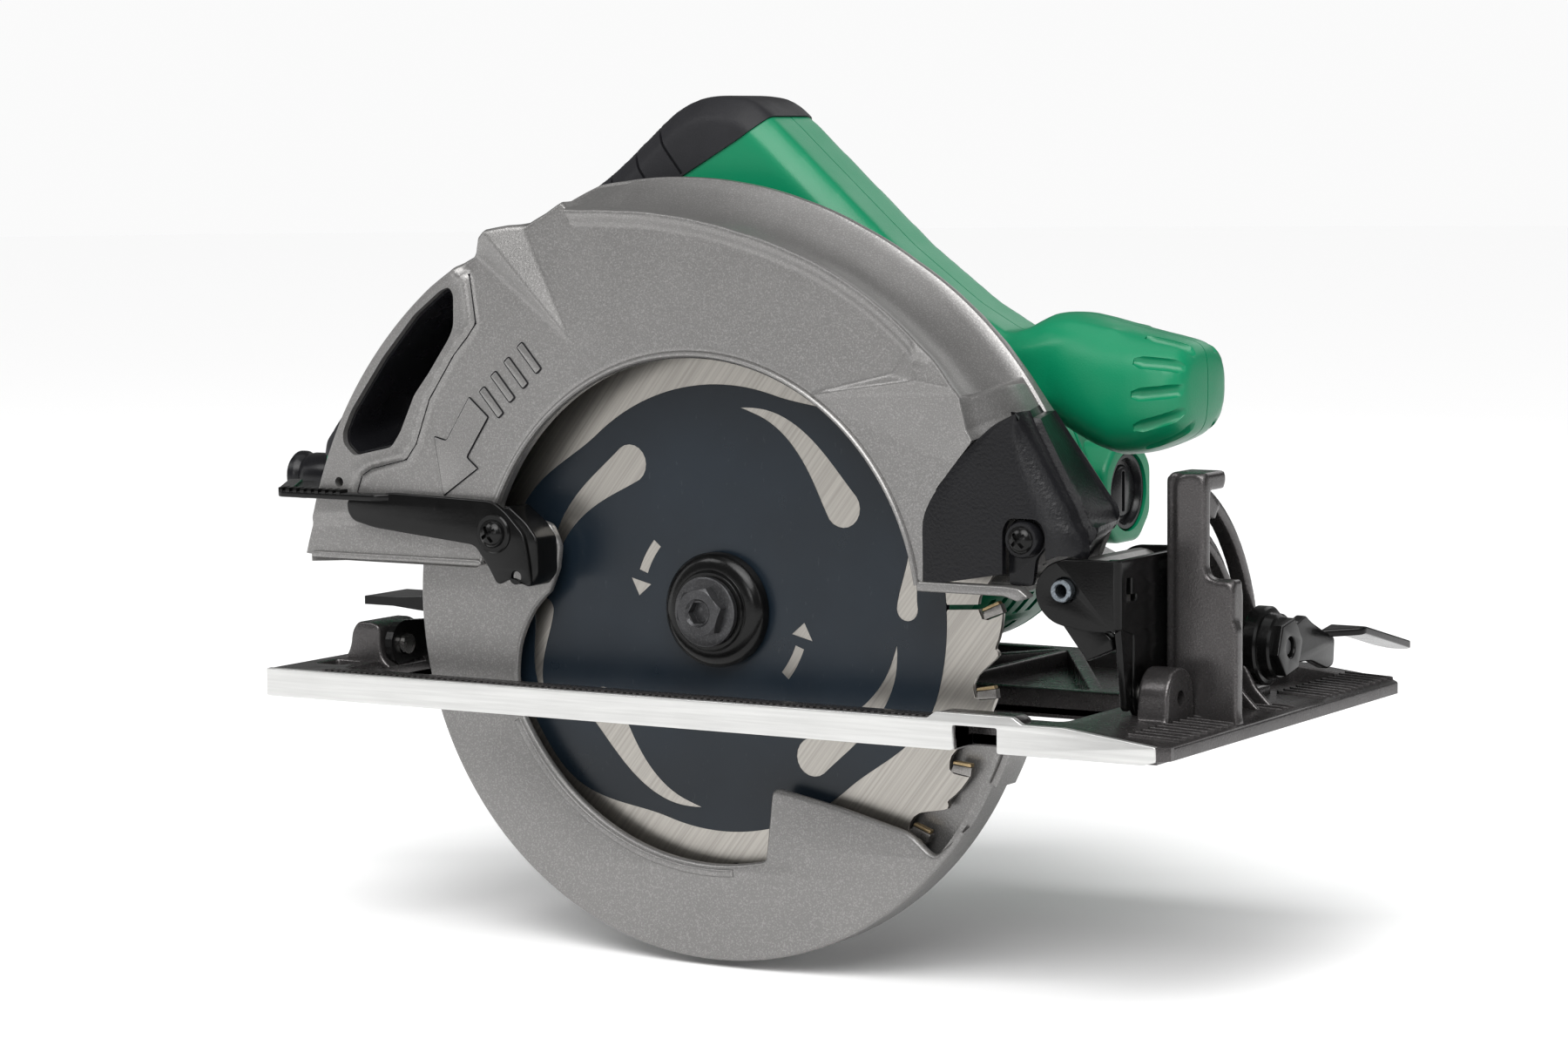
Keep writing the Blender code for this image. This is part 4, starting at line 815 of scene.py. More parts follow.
def screw_mesh(centre, face, radius, depth, side=-1, turn=20):
    """A pan-head screw along y with a cross recess; side tells which way its head faces."""
    profile = [(radius * sin(pi / 2 * i / 6), face + side * depth * cos(pi / 2 * i / 6)) for i in range(7)]
    profile += [(radius, face - side * 0.4), (radius * 0.5, face - side * 0.6),
                (radius * 0.5, face - side * 6), (0, face - side * 6)]
    head = turned(profile, centre, "Y", 40)
    low, high = sorted((face + side * depth * 0.35, face + side * (depth + 2)))
    for extra in (0, 90):
        along = Vector(polar((0, 0), 1, turn + extra))
        across = Vector((-along.y, along.x))
        arm = bar(Vector(centre), along * (radius * 0.62), across * (radius * 0.13))
        head = cut(head, plate([arm], low, high, "Y", 0.01, 0))
    return head


def thumb_ridges(count=9):
    """Ridges across the thumb plate, on its straight part and then on its slanting part."""
    outlines = [box_outline(at.x - 0.7, at.x + 0.7, -22.9, -19)
                for at in between((-120, -21.6), (-141.5, -21.6), count)]
    along, across = Vector((-0.53, 0.85)) * 0.7, Vector((0.85, 0.53)) * 4
    for at in between((-143.8, -19.8), (-157.5, 2), count):
        corners = [at - along, at - along + across, at + along + across, at + along]
        outlines.append([tuple(corner) for corner in corners])
    return [plate([outline], 59.4, 60.9, "Z", 0.25, 1) for outline in outlines]


def make_guard_lever():
    arm = [(-119, 57.8), (-118.9, 54.3), (-116.8, 51.6), (-109.1, 49.8), (-72.8, 46.3), (-67.9, 40),
           (-64.7, 34.7), (-60.5, 37), (-52.8, 34.6), (-53.6, 42), (-55.4, 50.1), (-61.9, 56.6),
           (-66.8, 59.5), (-102.9, 60.5)]
    clip = [(-65.8, 56), (-61.7, 58.4), (-55.1, 53.5), (-51.3, 48.9), (-51.1, 38.4), (-54.6, 34.4),
            (-57.4, 36.2), (-57.2, 45), (-60.6, 52)]
    thumb = [(-102.5, -19.2), (-107, -22.8), (-142.5, -22.8), (-160.5, 5.5), (-153, 9), (-134.5, -3),
             (-133.5, -18.2), (-103, -18.2)]
    front = plate([rounded(arm, 2), circle((-58.2, 37.6), 1.7, 20)], -20, -18.2, "Y", 0.5)
    back = plate([rounded(clip, 1.5)], -19, -8.4, "Y", 0.7)
    top = plate([rounded(thumb, 1.6)], 57.9, 60, "Z", 0.5)
    lever = merged(front, back, top, *thumb_ridges())
    add_mesh("lever_plate", lever, "black_steel", "lower_guard", ["guard_lever"])
    washer = turned([(2.4, -20.9), (5.4, -20.9), (5.8, -20.5), (5.8, -20), (2.4, -20)], LEVER_SCREW, "Y", 40)
    screw = merged(washer, screw_mesh(LEVER_SCREW, -20.8, 4.2, 2.8, turn=30))
    add_mesh("lever_screw", screw, "black_steel", "lower_guard", ["guard_lever_screw"])


# ---------------------------------------------------------------- blade and its fixing

BLADE_TEETH = 24
FIRST_TOOTH, TOOTH_PITCH = 2.4, 15
# A tooth and the gullet behind it, each point a radius and degrees from the tooth's start.
TOOTH = [(91.6, -0.2), (90.2, -0.6), (87, -1.35), (85.2, -1.2), (84.2, 0.2), (84, 1.4), (84.6, 2.8),
         (86.2, 4.2), (87.9, 5.4), (89.6, 6.6), (90.5, 7.4), (90.3, 8), (89.5, 8.4), (89.5, 8.9),
         (90.3, 10.4), (91, 12.2), (91.5, 14.2)]
CARBIDE = [(92, 0), (91.2, 1.5), (85.8, 0.1), (86, -1.35)]
BRAZE = [(90.8, 1.5), (90.4, 2), (85.4, 0.7), (85.4, 0.2)]
SLOT_ANGLES = (3.4, 93.4, 183.4, 273.4)
ARBOR_HOLE = 8.3


def comma(head_angle, span, head_radius, tail_radius, width, steps=22):
    """A crescent drop: a round head that thins along an arc to a pointed tail."""
    outer, inner = [], []
    for i in range(steps + 1):
        t = i / steps
        angle = head_angle + span * t
        middle = head_radius + (tail_radius - head_radius) * soft_step(t * 1.15)
        half = width * (1 - t) ** 0.85
        outer.append(polar(ARBOR, middle + half, angle))
        inner.append(polar(ARBOR, middle - half, angle))
    turn = -1 if span > 0 else 1
    middle = polar(ARBOR, head_radius, head_angle)
    cap = [polar(middle, width, head_angle + turn * 180 * k / 10) for k in range(1, 10)]
    return outer[::-1] + cap + inner


def on_tooth(number, shape):
    """The shape's points moved to a tooth."""
    return [polar(ARBOR, radius, FIRST_TOOTH + TOOTH_PITCH * number + turn) for radius, turn in shape]


def on_every_tooth(shape, half, edge):
    plates = [plate([on_tooth(i, shape)], -half, half, "Y", edge, 1) for i in range(BLADE_TEETH)]
    return merged(*plates)


def make_blade_body():
    outline = sum((on_tooth(i, TOOTH) for i in range(BLADE_TEETH)), [])
    body = plate([outline, circle(ARBOR, ARBOR_HOLE)], -0.85, 0.85, "Y", 0.08, 1)
    for angle in SLOT_ANGLES:
        hole = arc(polar(ARBOR, 72.6 if angle < 10 else 75.4, angle), 1.9, angle + 22, angle + 338, 18)
        end = polar(ARBOR, 90, angle)
        far = [polar(end, 0.7, angle - 90), polar(end, 0.7, angle + 90)]
        body = cut(body, plate([hole + far], -3, 3, "Y", 0.01, 0))
    add_mesh("blade_body", body, "brushed_blade", "blade_spindle", ["saw_blade"], 40)
    # Smooth shading would draw light bars across the flat sides.
    for face in body.polygons:
        if abs(face.normal.y) > 0.99:
            face.use_smooth = False


def make_blade_coating():
    """The dark coating's wavy edge, with crescents, arcs and arrow heads left bare."""
    edge = []
    for i in range(240):
        angle = 360 * i / 240
        wave = soft_step(0.5 + 0.9 * cos(radians(2 * (angle - 12))))
        edge.append(polar(ARBOR, 64.5 + 9.5 * wave, angle))
    marks = []
    for i in range(4):
        marks.append(comma(37 + 90 * i, 46, 51, 58.5, 5.6))
        if i < 2:
            marks.append(comma(3 + 180 * i, 24, 61.5, 68, 3.4))
    marks += [arc(ARBOR, 29.5, a, a + 20, 6) + arc(ARBOR, 26.5, a + 20, a, 6) for a in (140, 320)]
    marks += [[polar(ARBOR, 31.5, a), polar(ARBOR, 28, a + 9), polar(ARBOR, 24.5, a)] for a in (166, 346)]
    for name, low, high in (("blade_coating_near", -1, -0.84), ("blade_coating_far", 0.84, 1)):
        layer = plate([edge, circle(ARBOR, 8.4)] + marks, low, high, "Y", 0.02, 0)
        add_mesh(name, layer, "blade_coating", "blade_spindle")


def make_blade():
    make_blade_body()
    add_mesh("blade_teeth", on_every_tooth(CARBIDE, 1.2, 0.12), "carbide", "blade_spindle")
    add_mesh("blade_braze", on_every_tooth(BRAZE, 1, 0.05), "braze", "blade_spindle")
    make_blade_coating()


def make_flange():
    """The outer flange and the blade bolt: a flanged hexagon head with a countersunk socket."""
    profile = [(4.6, -1.25), (16.3, -1.25), (16.6, -1.6), (16.6, -4), (16.2, -4.8), (15.2, -5.8),
               (14.2, -6.4), (12.4, -6.7), (11.8, -6.7), (11.5, -7), (11.4, -7.7), (11.1, -8), (4.6, -8)]
    add_mesh("outer_washer", turned(profile, ARBOR, "Y", 96), "black_steel", "blade_spindle",
             ["outer_flange"], sharp=40)
    blank = turned([(0, -13.6), (6.6, -13.6), (7.55, -12.9), (7.55, -9.2), (0, -9.2)], ARBOR, "Y", 60)
    hexagon = combined(blank, plate([arc(ARBOR, 7.6, 12, 312, 5)], -14, -8.9, "Y", 0.15), "INTERSECT")
    flange = turned([(0, -10.1), (9.4, -10.1), (10, -9.8), (10.1, -9.2), (10.1, -8.3), (4, -8.3), (4, 9.5),
                     (0, 9.5)], ARBOR, "Y", 72)
    socket = plate([arc(ARBOR, 3.5, 0, 300, 5)], -20, -10.2, "Y", 0.02, 0)
    countersink = turned([(0, -12.9), (3.5, -12.9), (4.4, -13.9), (0, -13.9)], ARBOR, "Y", 48)
    bolt = cut(combined(flange, hexagon, "UNION"), socket, countersink)
    add_mesh("arbor_bolt", bolt, "oxide_steel", "blade_spindle", ["blade_bolt"], 30)


# ---------------------------------------------------------------- base

BASE_REAR, BASE_FRONT = -136.8, 158.8
BASE_NEAR, BASE_FAR = -36.9, 120.4
BASE_TOP = 8.2
TOE_START = 128.8


def rib_pockets(bays=4):
    """Triangles between the diagonal ribs of the motor side, two in each bay."""
    outlines = []
    first, last, low, high = -104, 104, 35.5, 115.4
    width = (last - first) / bays
    for bay in range(bays):
        left, right = first + bay * width + 1.2, first + (bay + 1) * width - 1.2
        if bay % 2:
            outlines.append([(left, low), (right - 3, low), (left, high - 3)])
            outlines.append([(right, low + 3), (right, high), (left + 3, high)])
        else:
            outlines.append([(left + 3, low), (right, low), (right, high - 3)])
            outlines.append([(left, low + 3), (right - 3, high), (left, high)])
    return outlines


def toe_drop(mesh):
    """Slopes the top of the front toe and lifts its heel."""
    def slope(shape):
        everything = shape.verts[:] + shape.edges[:] + shape.faces[:]
        bmesh.ops.bisect_plane(shape, geom=everything, plane_co=place(TOE_START, 0, 0), plane_no=(1, 0, 0))
        for vertex in shape.verts:
            x, z = vertex.co.x / MM, vertex.co.z / MM
            if x > TOE_START + 0.1 and z > 4:
                top = BASE_TOP - 3.5 * (x - TOE_START) / 30
                vertex.co.z = (z - BASE_TOP + top) * MM
            if x > 150 and z < 1:
                vertex.co.z = (z + 1.3 * (x - 150) / 8.8) * MM

    return edited(mesh, slope)


def make_base_casting():
    outline = [(BASE_REAR, BASE_NEAR + 1.6), (155.8, BASE_NEAR + 1.6), (BASE_FRONT, BASE_NEAR + 4.2),
               (BASE_FRONT, BASE_FAR - 3), (155.8, BASE_FAR), (BASE_REAR, BASE_FAR)]
    slot = rounded(box_outline(-117.5, 123, -25, 31), 3)
    pockets = [rounded(pocket, 2) for pocket in rib_pockets()]
    for corners, radius in (((-131.8, -122, -20, -9), 1.5), ((-131.8, -122, 17, 115.4), 1.5),
                            ((126.5, 150.5, 68, 112), 3), ((111, 121, 38, 112), 1.5)):
        pockets.append(rounded(box_outline(*corners), radius))
    ribs = toe_drop(plate([outline, slot] + pockets, 0.4, BASE_TOP, "Z", 0.7))
    floor = plate([[(BASE_REAR + 0.6, BASE_NEAR + 2), (155.4, BASE_NEAR + 2), (155.4, BASE_FAR - 1),
                    (BASE_REAR + 0.6, BASE_FAR - 0.6)], slot], 0, 3.2, "Z", 0.3)
    hump = rounded([(88.5, 3), (115, 3), (115, 8.8), (113, 10.1), (90.5, 10.1), (88.5, 8.8)], 0.8)
    hump = plate([hump], BASE_NEAR + 1.4, -28, "Y", 0.4)
    notch = plate([box_outline(95.6, 108.6, -6, 7)], -60, -25.5, "Y", 0.02, 0)
    add_mesh("base_casting", cut(merged(ribs, floor, hump), notch), "base_paint", "base", ["base_plate"],
             sharp=30)


def make_milled_edge():
    """The bright milled edge on the blade side and the toe's bevelled corner."""
    edge = rounded([(BASE_REAR - 0.1, 0), (95.3, 0), (95.3, 6.9), (108.9, 6.9), (108.9, 0), (152, 0),
                    (155.9, 1), (155.9, 5), (129, 8.3), (116.5, 8.3), (113.5, 10.2), (90, 10.2), (87.5, 8.3),
                    (BASE_REAR - 0.1, 8.3)], 0.6, 2)
    add_mesh("milled_near_edge", plate([edge], BASE_NEAR, BASE_NEAR + 2, "Y", 0.25), "milled_edge", "base")
    corner = [(155.6, BASE_NEAR + 0.2), (BASE_FRONT + 0.1, BASE_NEAR + 3.2),
              (BASE_FRONT + 0.1, BASE_NEAR + 5), (155.6, BASE_NEAR + 2.2)]
    add_mesh("milled_corner", plate([corner], 1.1, 4.9, "Z", 0.2), "base_paint", "base")


def make_serrations(along_rail=96, along_toe=34):
    """The serrated top of the rail and the hatch of the toe, which leaves room for the boss and the lever."""
    teeth = []
    for k in range(along_rail):
        x = -118 + 204 * k / (along_rail - 1)
        tooth = [(x, -34.6), (x + 1.1, -34.6), (x + 2.3, -31), (x + 1.2, -31)]
        teeth.append(plate([tooth], 7.6, 8.75, "Z", 0.12, 0))
    for k in range(along_toe):
        y = -29 + 143 * k / (along_toe - 1)
        if not (10 < y < 32 or 48 < y < 66):
            tooth = [(143.5, y), (144.3, y - 0.5), (156.6, y + 5), (156, y + 5.6)]
            teeth.append(toe_drop(plate([tooth], 7.4, 8.9, "Z", 0.15, 0)))
    add_mesh("base_serrations", merged(*teeth), "base_paint", "base")


def make_rear_ear():
    """The lug that carries the rear bevel pin, with its web."""
    lobe = rounded([(-134, 6), (-113.5, 6), (-117, 8.6), (-117.8, 13), (-117.8, 18.4), (-120.5, 19.6),
                    (-126, 19.6), (-128.2, 16.5), (-128.8, 12), (-130.5, 8.6)], 2.2, 5)
    ear = cut(plate([lobe], -6.5, 13, "Y", 0.9, 3), rod(BEVEL_AXIS, 3.2, -140, -105, "X", 40))
    web = plate([rounded([(-128, 7), (-119, 7), (-121, 11.5), (-126.5, 11.5)], 0.8)], 12, 30, "Y", 0.5)
    add_mesh("rear_ear", merged(ear, web), "base_paint", "base")


def make_base():
    make_base_casting()
    make_milled_edge()
    make_serrations()
    make_rear_ear()


def band(low, high, first, last, steps=40):
    """The outline between two radii round the bevel axis."""
    return arc(BEVEL_AXIS, low, first, last, steps) + arc(BEVEL_AXIS, high, last, first, steps)


def make_quadrant():
    """The bevel quadrant: a slotted sector with raised rims, a neck, ribs and a foot, fused to its post."""
    post = rounded([(138.6, 4), (158, 4), (157, 8), (157, 31), (156, 33), (156, 44), (147.5, 44),
                    (147.5, 72.8), (138.6, 72.8)], 4.2, 6)
    sector = [(11.5, 4), (64, 4)] + arc(BEVEL_AXIS, 60.8, 2, 66, 40) + [(11.5, 72)]
    head = rounded([(11.5, 68), (23.4, 68), (24.4, 70.6), (23.6, 73), (11.5, 73)], 0.8)
    neck = [(11.5, 52), (14.5, 56), (18, 60.5), (23, 62), (30, 58.5), (33, 62), (27, 66.5), (24.2, 71),
            (11.5, 71)]
    step = rounded([(11.5, 4), (17.2, 4), (17.2, 40), (16.2, 44.2), (11.5, 44.2)], 0.8)
    gusset = [(140.5, 5), (152.5, 5), (147, 10.5), (143.5, 17), (140.5, 20)]
    slabs = [(band(57.2, 60.8, 0, 66), 136, 140.6), (band(47.4, 50.8, 4, 61), 136, 139.6),
             (band(44.2, 47, 14, 72), 136, 142.3), (band(47.4, 60.6, 59, 63, 4), 136, 140.2),
             (head, 136.5, 147.5), (neck, 136, 141.4)]
    for low, high in ((44.5, 48), (56.6, 60)):
        slabs.append(([(11.5, low), (18.5, low - 1), (21.5, high - 3.4), (11.5, high)], 136.6, 142.3))
    slabs.append((step, 140.6, 156))
    shapes = [plate([post], 10.5, 14.5, "Y", 0.3),
              plate([sector, band(50.8, 57.2, 4, 59, 30)], 135.2, 138.4, "X", 0.3)]
    shapes += [plate([outline], start, end, "X", 0.3) for outline, start, end in slabs]
    shapes += [plate([gusset], y, y + 2, "Y", 0.3) for y in (24, 36, 44.5)]
    shapes.append(plate([box_outline(17, 64, 4.4, 9.2)], 135.6, 143, "X", 0.3))
    mesh = melted(merged(*shapes), 0.62, 5)
    add_mesh("quadrant_casting", mesh, "base_paint", "base", ["bevel_quadrant"], sharp=180)


def make_front_boss():
    """The front bevel boss on its pad, and the pin in its stepped bore."""
    outline = [(10.4, 4.4)] + arc(BEVEL_AXIS, 8.2, 0, 180, 30) + [(-7.4, 4.4)]
    pad = [(-12, 4.4), (14, 4.4), (11, 6.8), (-8.5, 6.8)]
    boss = merged(plate([outline], 135.6, 144.7, "X", 0.4), plate([pad], 135.8, 144.5, "X", 0.3))
    bore = [(0, 130), (3.05, 130), (3.05, 140.6), (2.1, 140.8), (2.1, 150), (0, 150)]
    boss = cut(melted(boss, 0.5, 5), turned(bore, BEVEL_AXIS, "X", 32))
    pin = [(0, 128.5), (2.5, 128.5), (3, 129), (3, 140), (2.6, 140.4), (0, 140.4)]
    add_mesh("front_hinge_pin", turned(pin, BEVEL_AXIS, "X", 32), "steel", "base", ["front_bevel_pin"])
    add_mesh("front_boss_casting", boss, "base_paint", "base", ["front_bevel_boss"], sharp=40)


# ---------------------------------------------------------------- bevel parts


def make_bevel_lever():
    y, z = BEVEL_BOLT
    hub = turned([(2.9, 142.6), (10.9, 142.6), (11.2, 143), (11.2, 146.2), (10.6, 146.8), (9.6, 147),
                  (9.2, 149.6), (8.6, 150.2), (2.9, 150.2)], BEVEL_BOLT, "X", 72)
    nut = plate([arc(BEVEL_BOLT, 8.4, 10, 310, 5), circle(BEVEL_BOLT, 2.9, 32)], 149.4, 153, "X", 0.5, 3)
    arm = [(2, -6.5), (13, -6), (22, -6.6), (33, -10.2), (37.5, -9.4), (38.2, -1.4), (34, -0.2), (22, 4.6),
           (17.5, 7.2), (12, 5.4), (2, 7.5)]
    arm = plate([rounded([(y + a, z + b) for a, b in arm], 1.6)], 146.6, 149.6, "X", 0.6, 3)
    pad = [(146.8, y + 33), (158.2, y + 39), (158.2, y + 74), (154.5, y + 79), (149, y + 79), (146.8, y + 72)]
    flat = plate([rounded(pad, 1.8)], -1.1, 1.1, "Z", 0.5, 3)

    def bend(shape):
        """Lifts the pad to the arm's height and turns its outer part down."""
        everything = shape.verts[:] + shape.edges[:] + shape.faces[:]
        bmesh.ops.bisect_plane(shape, geom=everything, plane_co=place(0, y + 41, 0), plane_no=(0, 1, 0))
        for vertex in shape.verts:
            local = vertex.co.y / MM - BLADE_Y
            if local < y + 41:
                rise = z - 0.2 + 0.9 * soft_step((local - y - 33) / 8)
            else:
                rise = z + 0.7 - (local - y - 41) * 0.235
            vertex.co.z += rise * MM

    add_mesh("bevel_clamp_lever", merged(hub, nut, arm, edited(flat, bend)), "black_steel", "bevel_lever",
             ["bevel_lever"])
    bolt = turned([(0, 129), (5.5, 129), (5.5, 131.5), (2.5, 131.5), (2.5, 151.6), (2.1, 152), (0, 152)],
                  BEVEL_BOLT, "X", 32)
    add_mesh("bevel_bolt", bolt, "oxide_steel", "bevel_frame", ["bevel_clamp_bolt"])


FOLD = 133.8


def make_roll_pin():
    profile = [(1.7, -16), (2, -16.4), (2.8, -16.4), (3.1, -16), (3.1, 36.2), (2.8, 36.5), (1.7, 36.5)]
    add_mesh("roll_pin", turned(profile, DEPTH_PIN, "Y", 48), "tube_steel", "bevel_frame",
             ["depth_hinge_pin"])


def make_bracket():
    """The pressed bracket: two ears round the roll pin, folded to a front plate that turns with the bevel."""
    eye = circle(DEPTH_PIN, 3.4, 32)
    ear = smooth_path([(120, 50.5), (117, 50.4), (112.6, 48.8), (109.5, 45.2), (108.6, 41), (110, 36.8),
                       (113.8, 33.4), (119.4, 31.9), (126, 31.2), (FOLD - 1, 31.4)], 4)
    ear += [(FOLD - 1.3, 31.6), (FOLD - 1.3, 50.7)]
    finger = rounded([(109.4, 38.4), (115.6, 33.1), (123.5, 23), (131.2, 26.4), (130.8, 29.6), (127, 33),
                      (118, 40)], 0.8)
    far_ear = arc(DEPTH_PIN, 8.2, 95, 255, 24) + [(FOLD, 33), (FOLD, 50.8)]
    front = [(-12.7, 32), (-4.9, 30), (-4.9, 12.6)] + arc(BEVEL_AXIS, 6.4, 180, 300, 14)
    front += [(20, 12), (47, 12), (63, 14.5), (64, 28), (50, 33), (46, 50.8), (35, 50.8), (34, 47.2),
              (30, 46.6), (29, 50.8), (-12.7, 50.8)]
    slot = rounded([(-9, 45.6), (-6.2, 45.6), (-6.2, 41), (-3.4, 41), (-3.4, 39.2), (-9, 39.2)], 0.4, 2)
    holes = [slot, circle(BEVEL_AXIS, 3.3, 32), circle(BEVEL_BOLT, 2.8, 32)]
    corner = [(0, 31.8), (1.6, 31.8), (2, 32.2), (2, 50.4), (1.6, 50.8), (0, 50.8)]
    tongue = rounded([(-12.8, 33), (-9, 10.4), (-8, 9.4), (-5.4, 9.6), (-4.6, 11), (-4.6, 33)], 0.6)
    mesh = merged(plate([ear, eye], -14, -12, "Y", 0.45, 3), plate([finger], -12.6, -8, "Y", 0.5),
                  plate([far_ear, eye], 33, 35, "Y", 0.45),
                  plate([rounded(front, 1, 2)] + holes, FOLD - 2, FOLD, "X", 0.5, 3),
                  turned(corner, (FOLD - 2, -12), "Z", 48),
                  plate([tongue], FOLD - 2.2, FOLD - 0.3, "X", 0.5, 3))
    add_mesh("pressed_bracket", mesh, "black_steel", "bevel_frame", ["hinge_bracket"])


# ---------------------------------------------------------------- motor

BRUSH = (131.5, MOTOR[1] + 1)
VENT_ANGLES = (-60, -42, -24, 128, 146, 164)
VENT_PLACES = (66, 74, 82, 90, 98)


def radial(angle):
    """Unit vectors outwards and across at an angle."""
    return Vector(polar((0, 0), 1, angle)), Vector(polar((0, 0), 1, angle + 90))


def make_motor_shell():
    profile = [(42, 29.3), (44.2, 29.3), (45, 30.2), (45, 56), (44.3, 57), (45, 58), (45, 111.2),
               (44.4, 112), (42, 112)]
    cutters = [rod(ARBOR, 16.5, 20, 38)]
    for angle in VENT_ANGLES:
        along, across = radial(angle)
        vent = bar(Vector(polar(MOTOR, 45, angle)), along * 6, across * 4.6)
        cutters += [plate([vent], y, y + 3.2, "Y", 0.05, 0) for y in VENT_PLACES]
    housing = cut(turned(profile, MOTOR, "Y", 96), merged(*cutters))
    add_mesh("motor_shell", housing, "green_plastic", "head", ["motor_housing"], sharp=35)


def tail_slots():
    """Slots in the tail's end, widening outwards."""
    slots = []
    for k in range(12):
        along, across = radial(30 * k + 15)
        c = Vector(MOTOR)
        corners = [c + along * 12 - across * 1.4, c + along * 24 - across * 1.9,
                   c + along * 24 + across * 1.9, c + along * 12 + across * 1.4]
        slots.append(plate([rounded([tuple(corner) for corner in corners], 1)], 155, 170, "Y", 0.05, 0))
    return merged(*slots)


def make_motor_tail():
    outer = [(0, 165), (22, 165), (27.5, 164.4), (31, 162), (33.4, 157), (35, 150), (38, 138), (41, 122),
             (44, 116), (45, 112.9), (44.8, 112.3), (42.2, 112.3), (41, 116), (38.4, 122), (35.4, 138),
             (32, 150), (29.5, 158), (24, 161.5), (0, 162)]
    corners = ((-1, -0.5), (-0.5, -1), (0.5, -1), (1, -0.5), (1, 0.5), (0.5, 1), (-0.5, 1), (-1, 0.5))
    pad = [(BRUSH[0] + a * 15.6, BRUSH[1] + b * 15.6) for a, b in corners]
    pads = plate([rounded(pad, 3)], MOTOR[0] - 48.6, MOTOR[0] + 48.6, "X", 1.6, 3)
    core = turned([(0, 100), (36.5, 100), (36.5, 128), (33, 140), (30, 152), (26, 158), (0, 158)], MOTOR)
    bores = rod(BRUSH, 12.2, MOTOR[0] - 60, MOTOR[0] + 60, "X", 64)
    tail = combined(turned(outer, MOTOR, "Y", 96), pads, "UNION")
    add_mesh("motor_tail", cut(tail, core, bores, tail_slots()), "green_plastic", "head", ["tail_cover"],
             sharp=35)


def make_brush_plug(name, side):
    """A brush cap with a screwdriver slot; side is 1 at the front and -1 at the rear."""
    profile = [(0, 43.3), (11.9, 43.3), (11.9, 47.4), (11.4, 47.9), (10.4, 47.9), (9.9, 47.4), (9.3, 45.6),
               (8.2, 45.6), (7.8, 46.4), (7.2, 46.8), (0, 46.8)]
    cap = turned([(radius, MOTOR[0] + side * x) for radius, x in profile], BRUSH, "X", 64)
    groove = rounded(box_outline(BRUSH[0] - 0.9, BRUSH[0] + 0.9, BRUSH[1] - 6.2, BRUSH[1] + 6.2), 0.5)
    low, high = sorted((MOTOR[0] + side * 45.2, MOTOR[0] + side * 60))
    add_mesh("brush_plug_" + name, cut(cap, plate([groove], low, high, "X", 0.02, 0)), "smooth_black", "head",
             ["brush_cap_" + name], 35)


def make_motor():
    make_motor_shell()
    make_motor_tail()
    make_brush_plug("front", 1)
    make_brush_plug("rear", -1)


# ---------------------------------------------------------------- handle

GRIP_TOP = [(-6, 172), (-10.5, 174.6), (-17.5, 175.8), (-26.6, 175.3), (-35.8, 171.3), (-45.2, 163.8),
            (-60.9, 151.4), (-90, 134), (-120, 113.5), (-143, 94), (-152, 84)]
GRIP_GROOVES = [(-41.2, 167), (-49.8, 160.2), (-58.6, 153.3), (-69, 146.4), (-80.4, 139.6), (-92, 132.7),
                (-103.6, 124.8), (-115, 117), (-126, 108.5)]
GRIP_GAP = [(-45.2, 122.5), (-74.3, 106.2), (-102.4, 87.4), (-120, 74), (-118, 68), (-60, 68),
            (-46, 74), (-36, 92), (-33, 112), (-36, 120.5)]
# The front handle's sections and the flutes' paths on it, each as x, middle height, half height, half width.
FRONT_SECTIONS = [(76, 99, 9, 12.5), (81, 99.6, 12, 14.5), (87, 99.2, 15.2, 16.4),
                  (94, 97.2, 17.2, 17.8), (101, 94.8, 18.2, 18.8), (108, 92.8, 18.4, 19.4),
                  (115, 92.4, 17.2, 19.2), (121, 92.8, 15.6, 18.4), (126, 93.3, 14, 17.2),
                  (129.4, 93.8, 12.4, 15.6), (131, 94.1, 9.8, 12.6), (131.6, 94.2, 5, 6)]
FLUTE_SECTIONS = [(117, 92.5, 17, 19.2), (119.5, 92.6, 16.3, 18.9), (125, 93.2, 14.5, 17.7),
                  (129.2, 93.7, 12.6, 15.9), (133.6, 94.3, 10, 13)]
FLUTE_ANGLES = (-62, -31, 0, 31, 62, 118, 149, 180, 211, 242)
ROUNDNESS = 2.7
# Seen from the side, as (x, z): where the rubber overmould lies, the trigger's room and the screws.
RUBBER_ZONE = [(2, 186), (-1, 172.6), (-8, 165.4), (-46, 144.4), (-63, 133.4), (-92, 115.4), (-122, 95),
               (-142, 78), (-150, 69), (-158, 66), (-185, 66), (-185, 186)]
TRIGGER_ROOM = [(-66, 136), (-66, 112), (-58, 98), (-28, 115), (-24, 130), (-28, 141)]
HANDLE_SCREWS = [(-150, 59), (-20, 118), (60, 98), (118, 92), (-76, 57.5)]


def superellipse(half_y, half_z, steps=56):
    found = []
    for i in range(steps):
        a = 2 * pi * i / steps
        c, s = cos(a), sin(a)
        found.append((half_y * abs(c) ** (2 / ROUNDNESS) * (1 if c > 0 else -1),
                      half_z * abs(s) ** (2 / ROUNDNESS) * (1 if s > 0 else -1)))
    return found


def tube(rings):
    """Rings of points joined one to the next and closed at both ends, as a mesh."""
    count, points = len(rings[0]), sum(rings, [])
    ends = [list(range(count)), list(range(len(points) - count, len(points)))[::-1]]
    return mesh_of(points, grid_faces(len(rings), count, wrap=True) + ends)


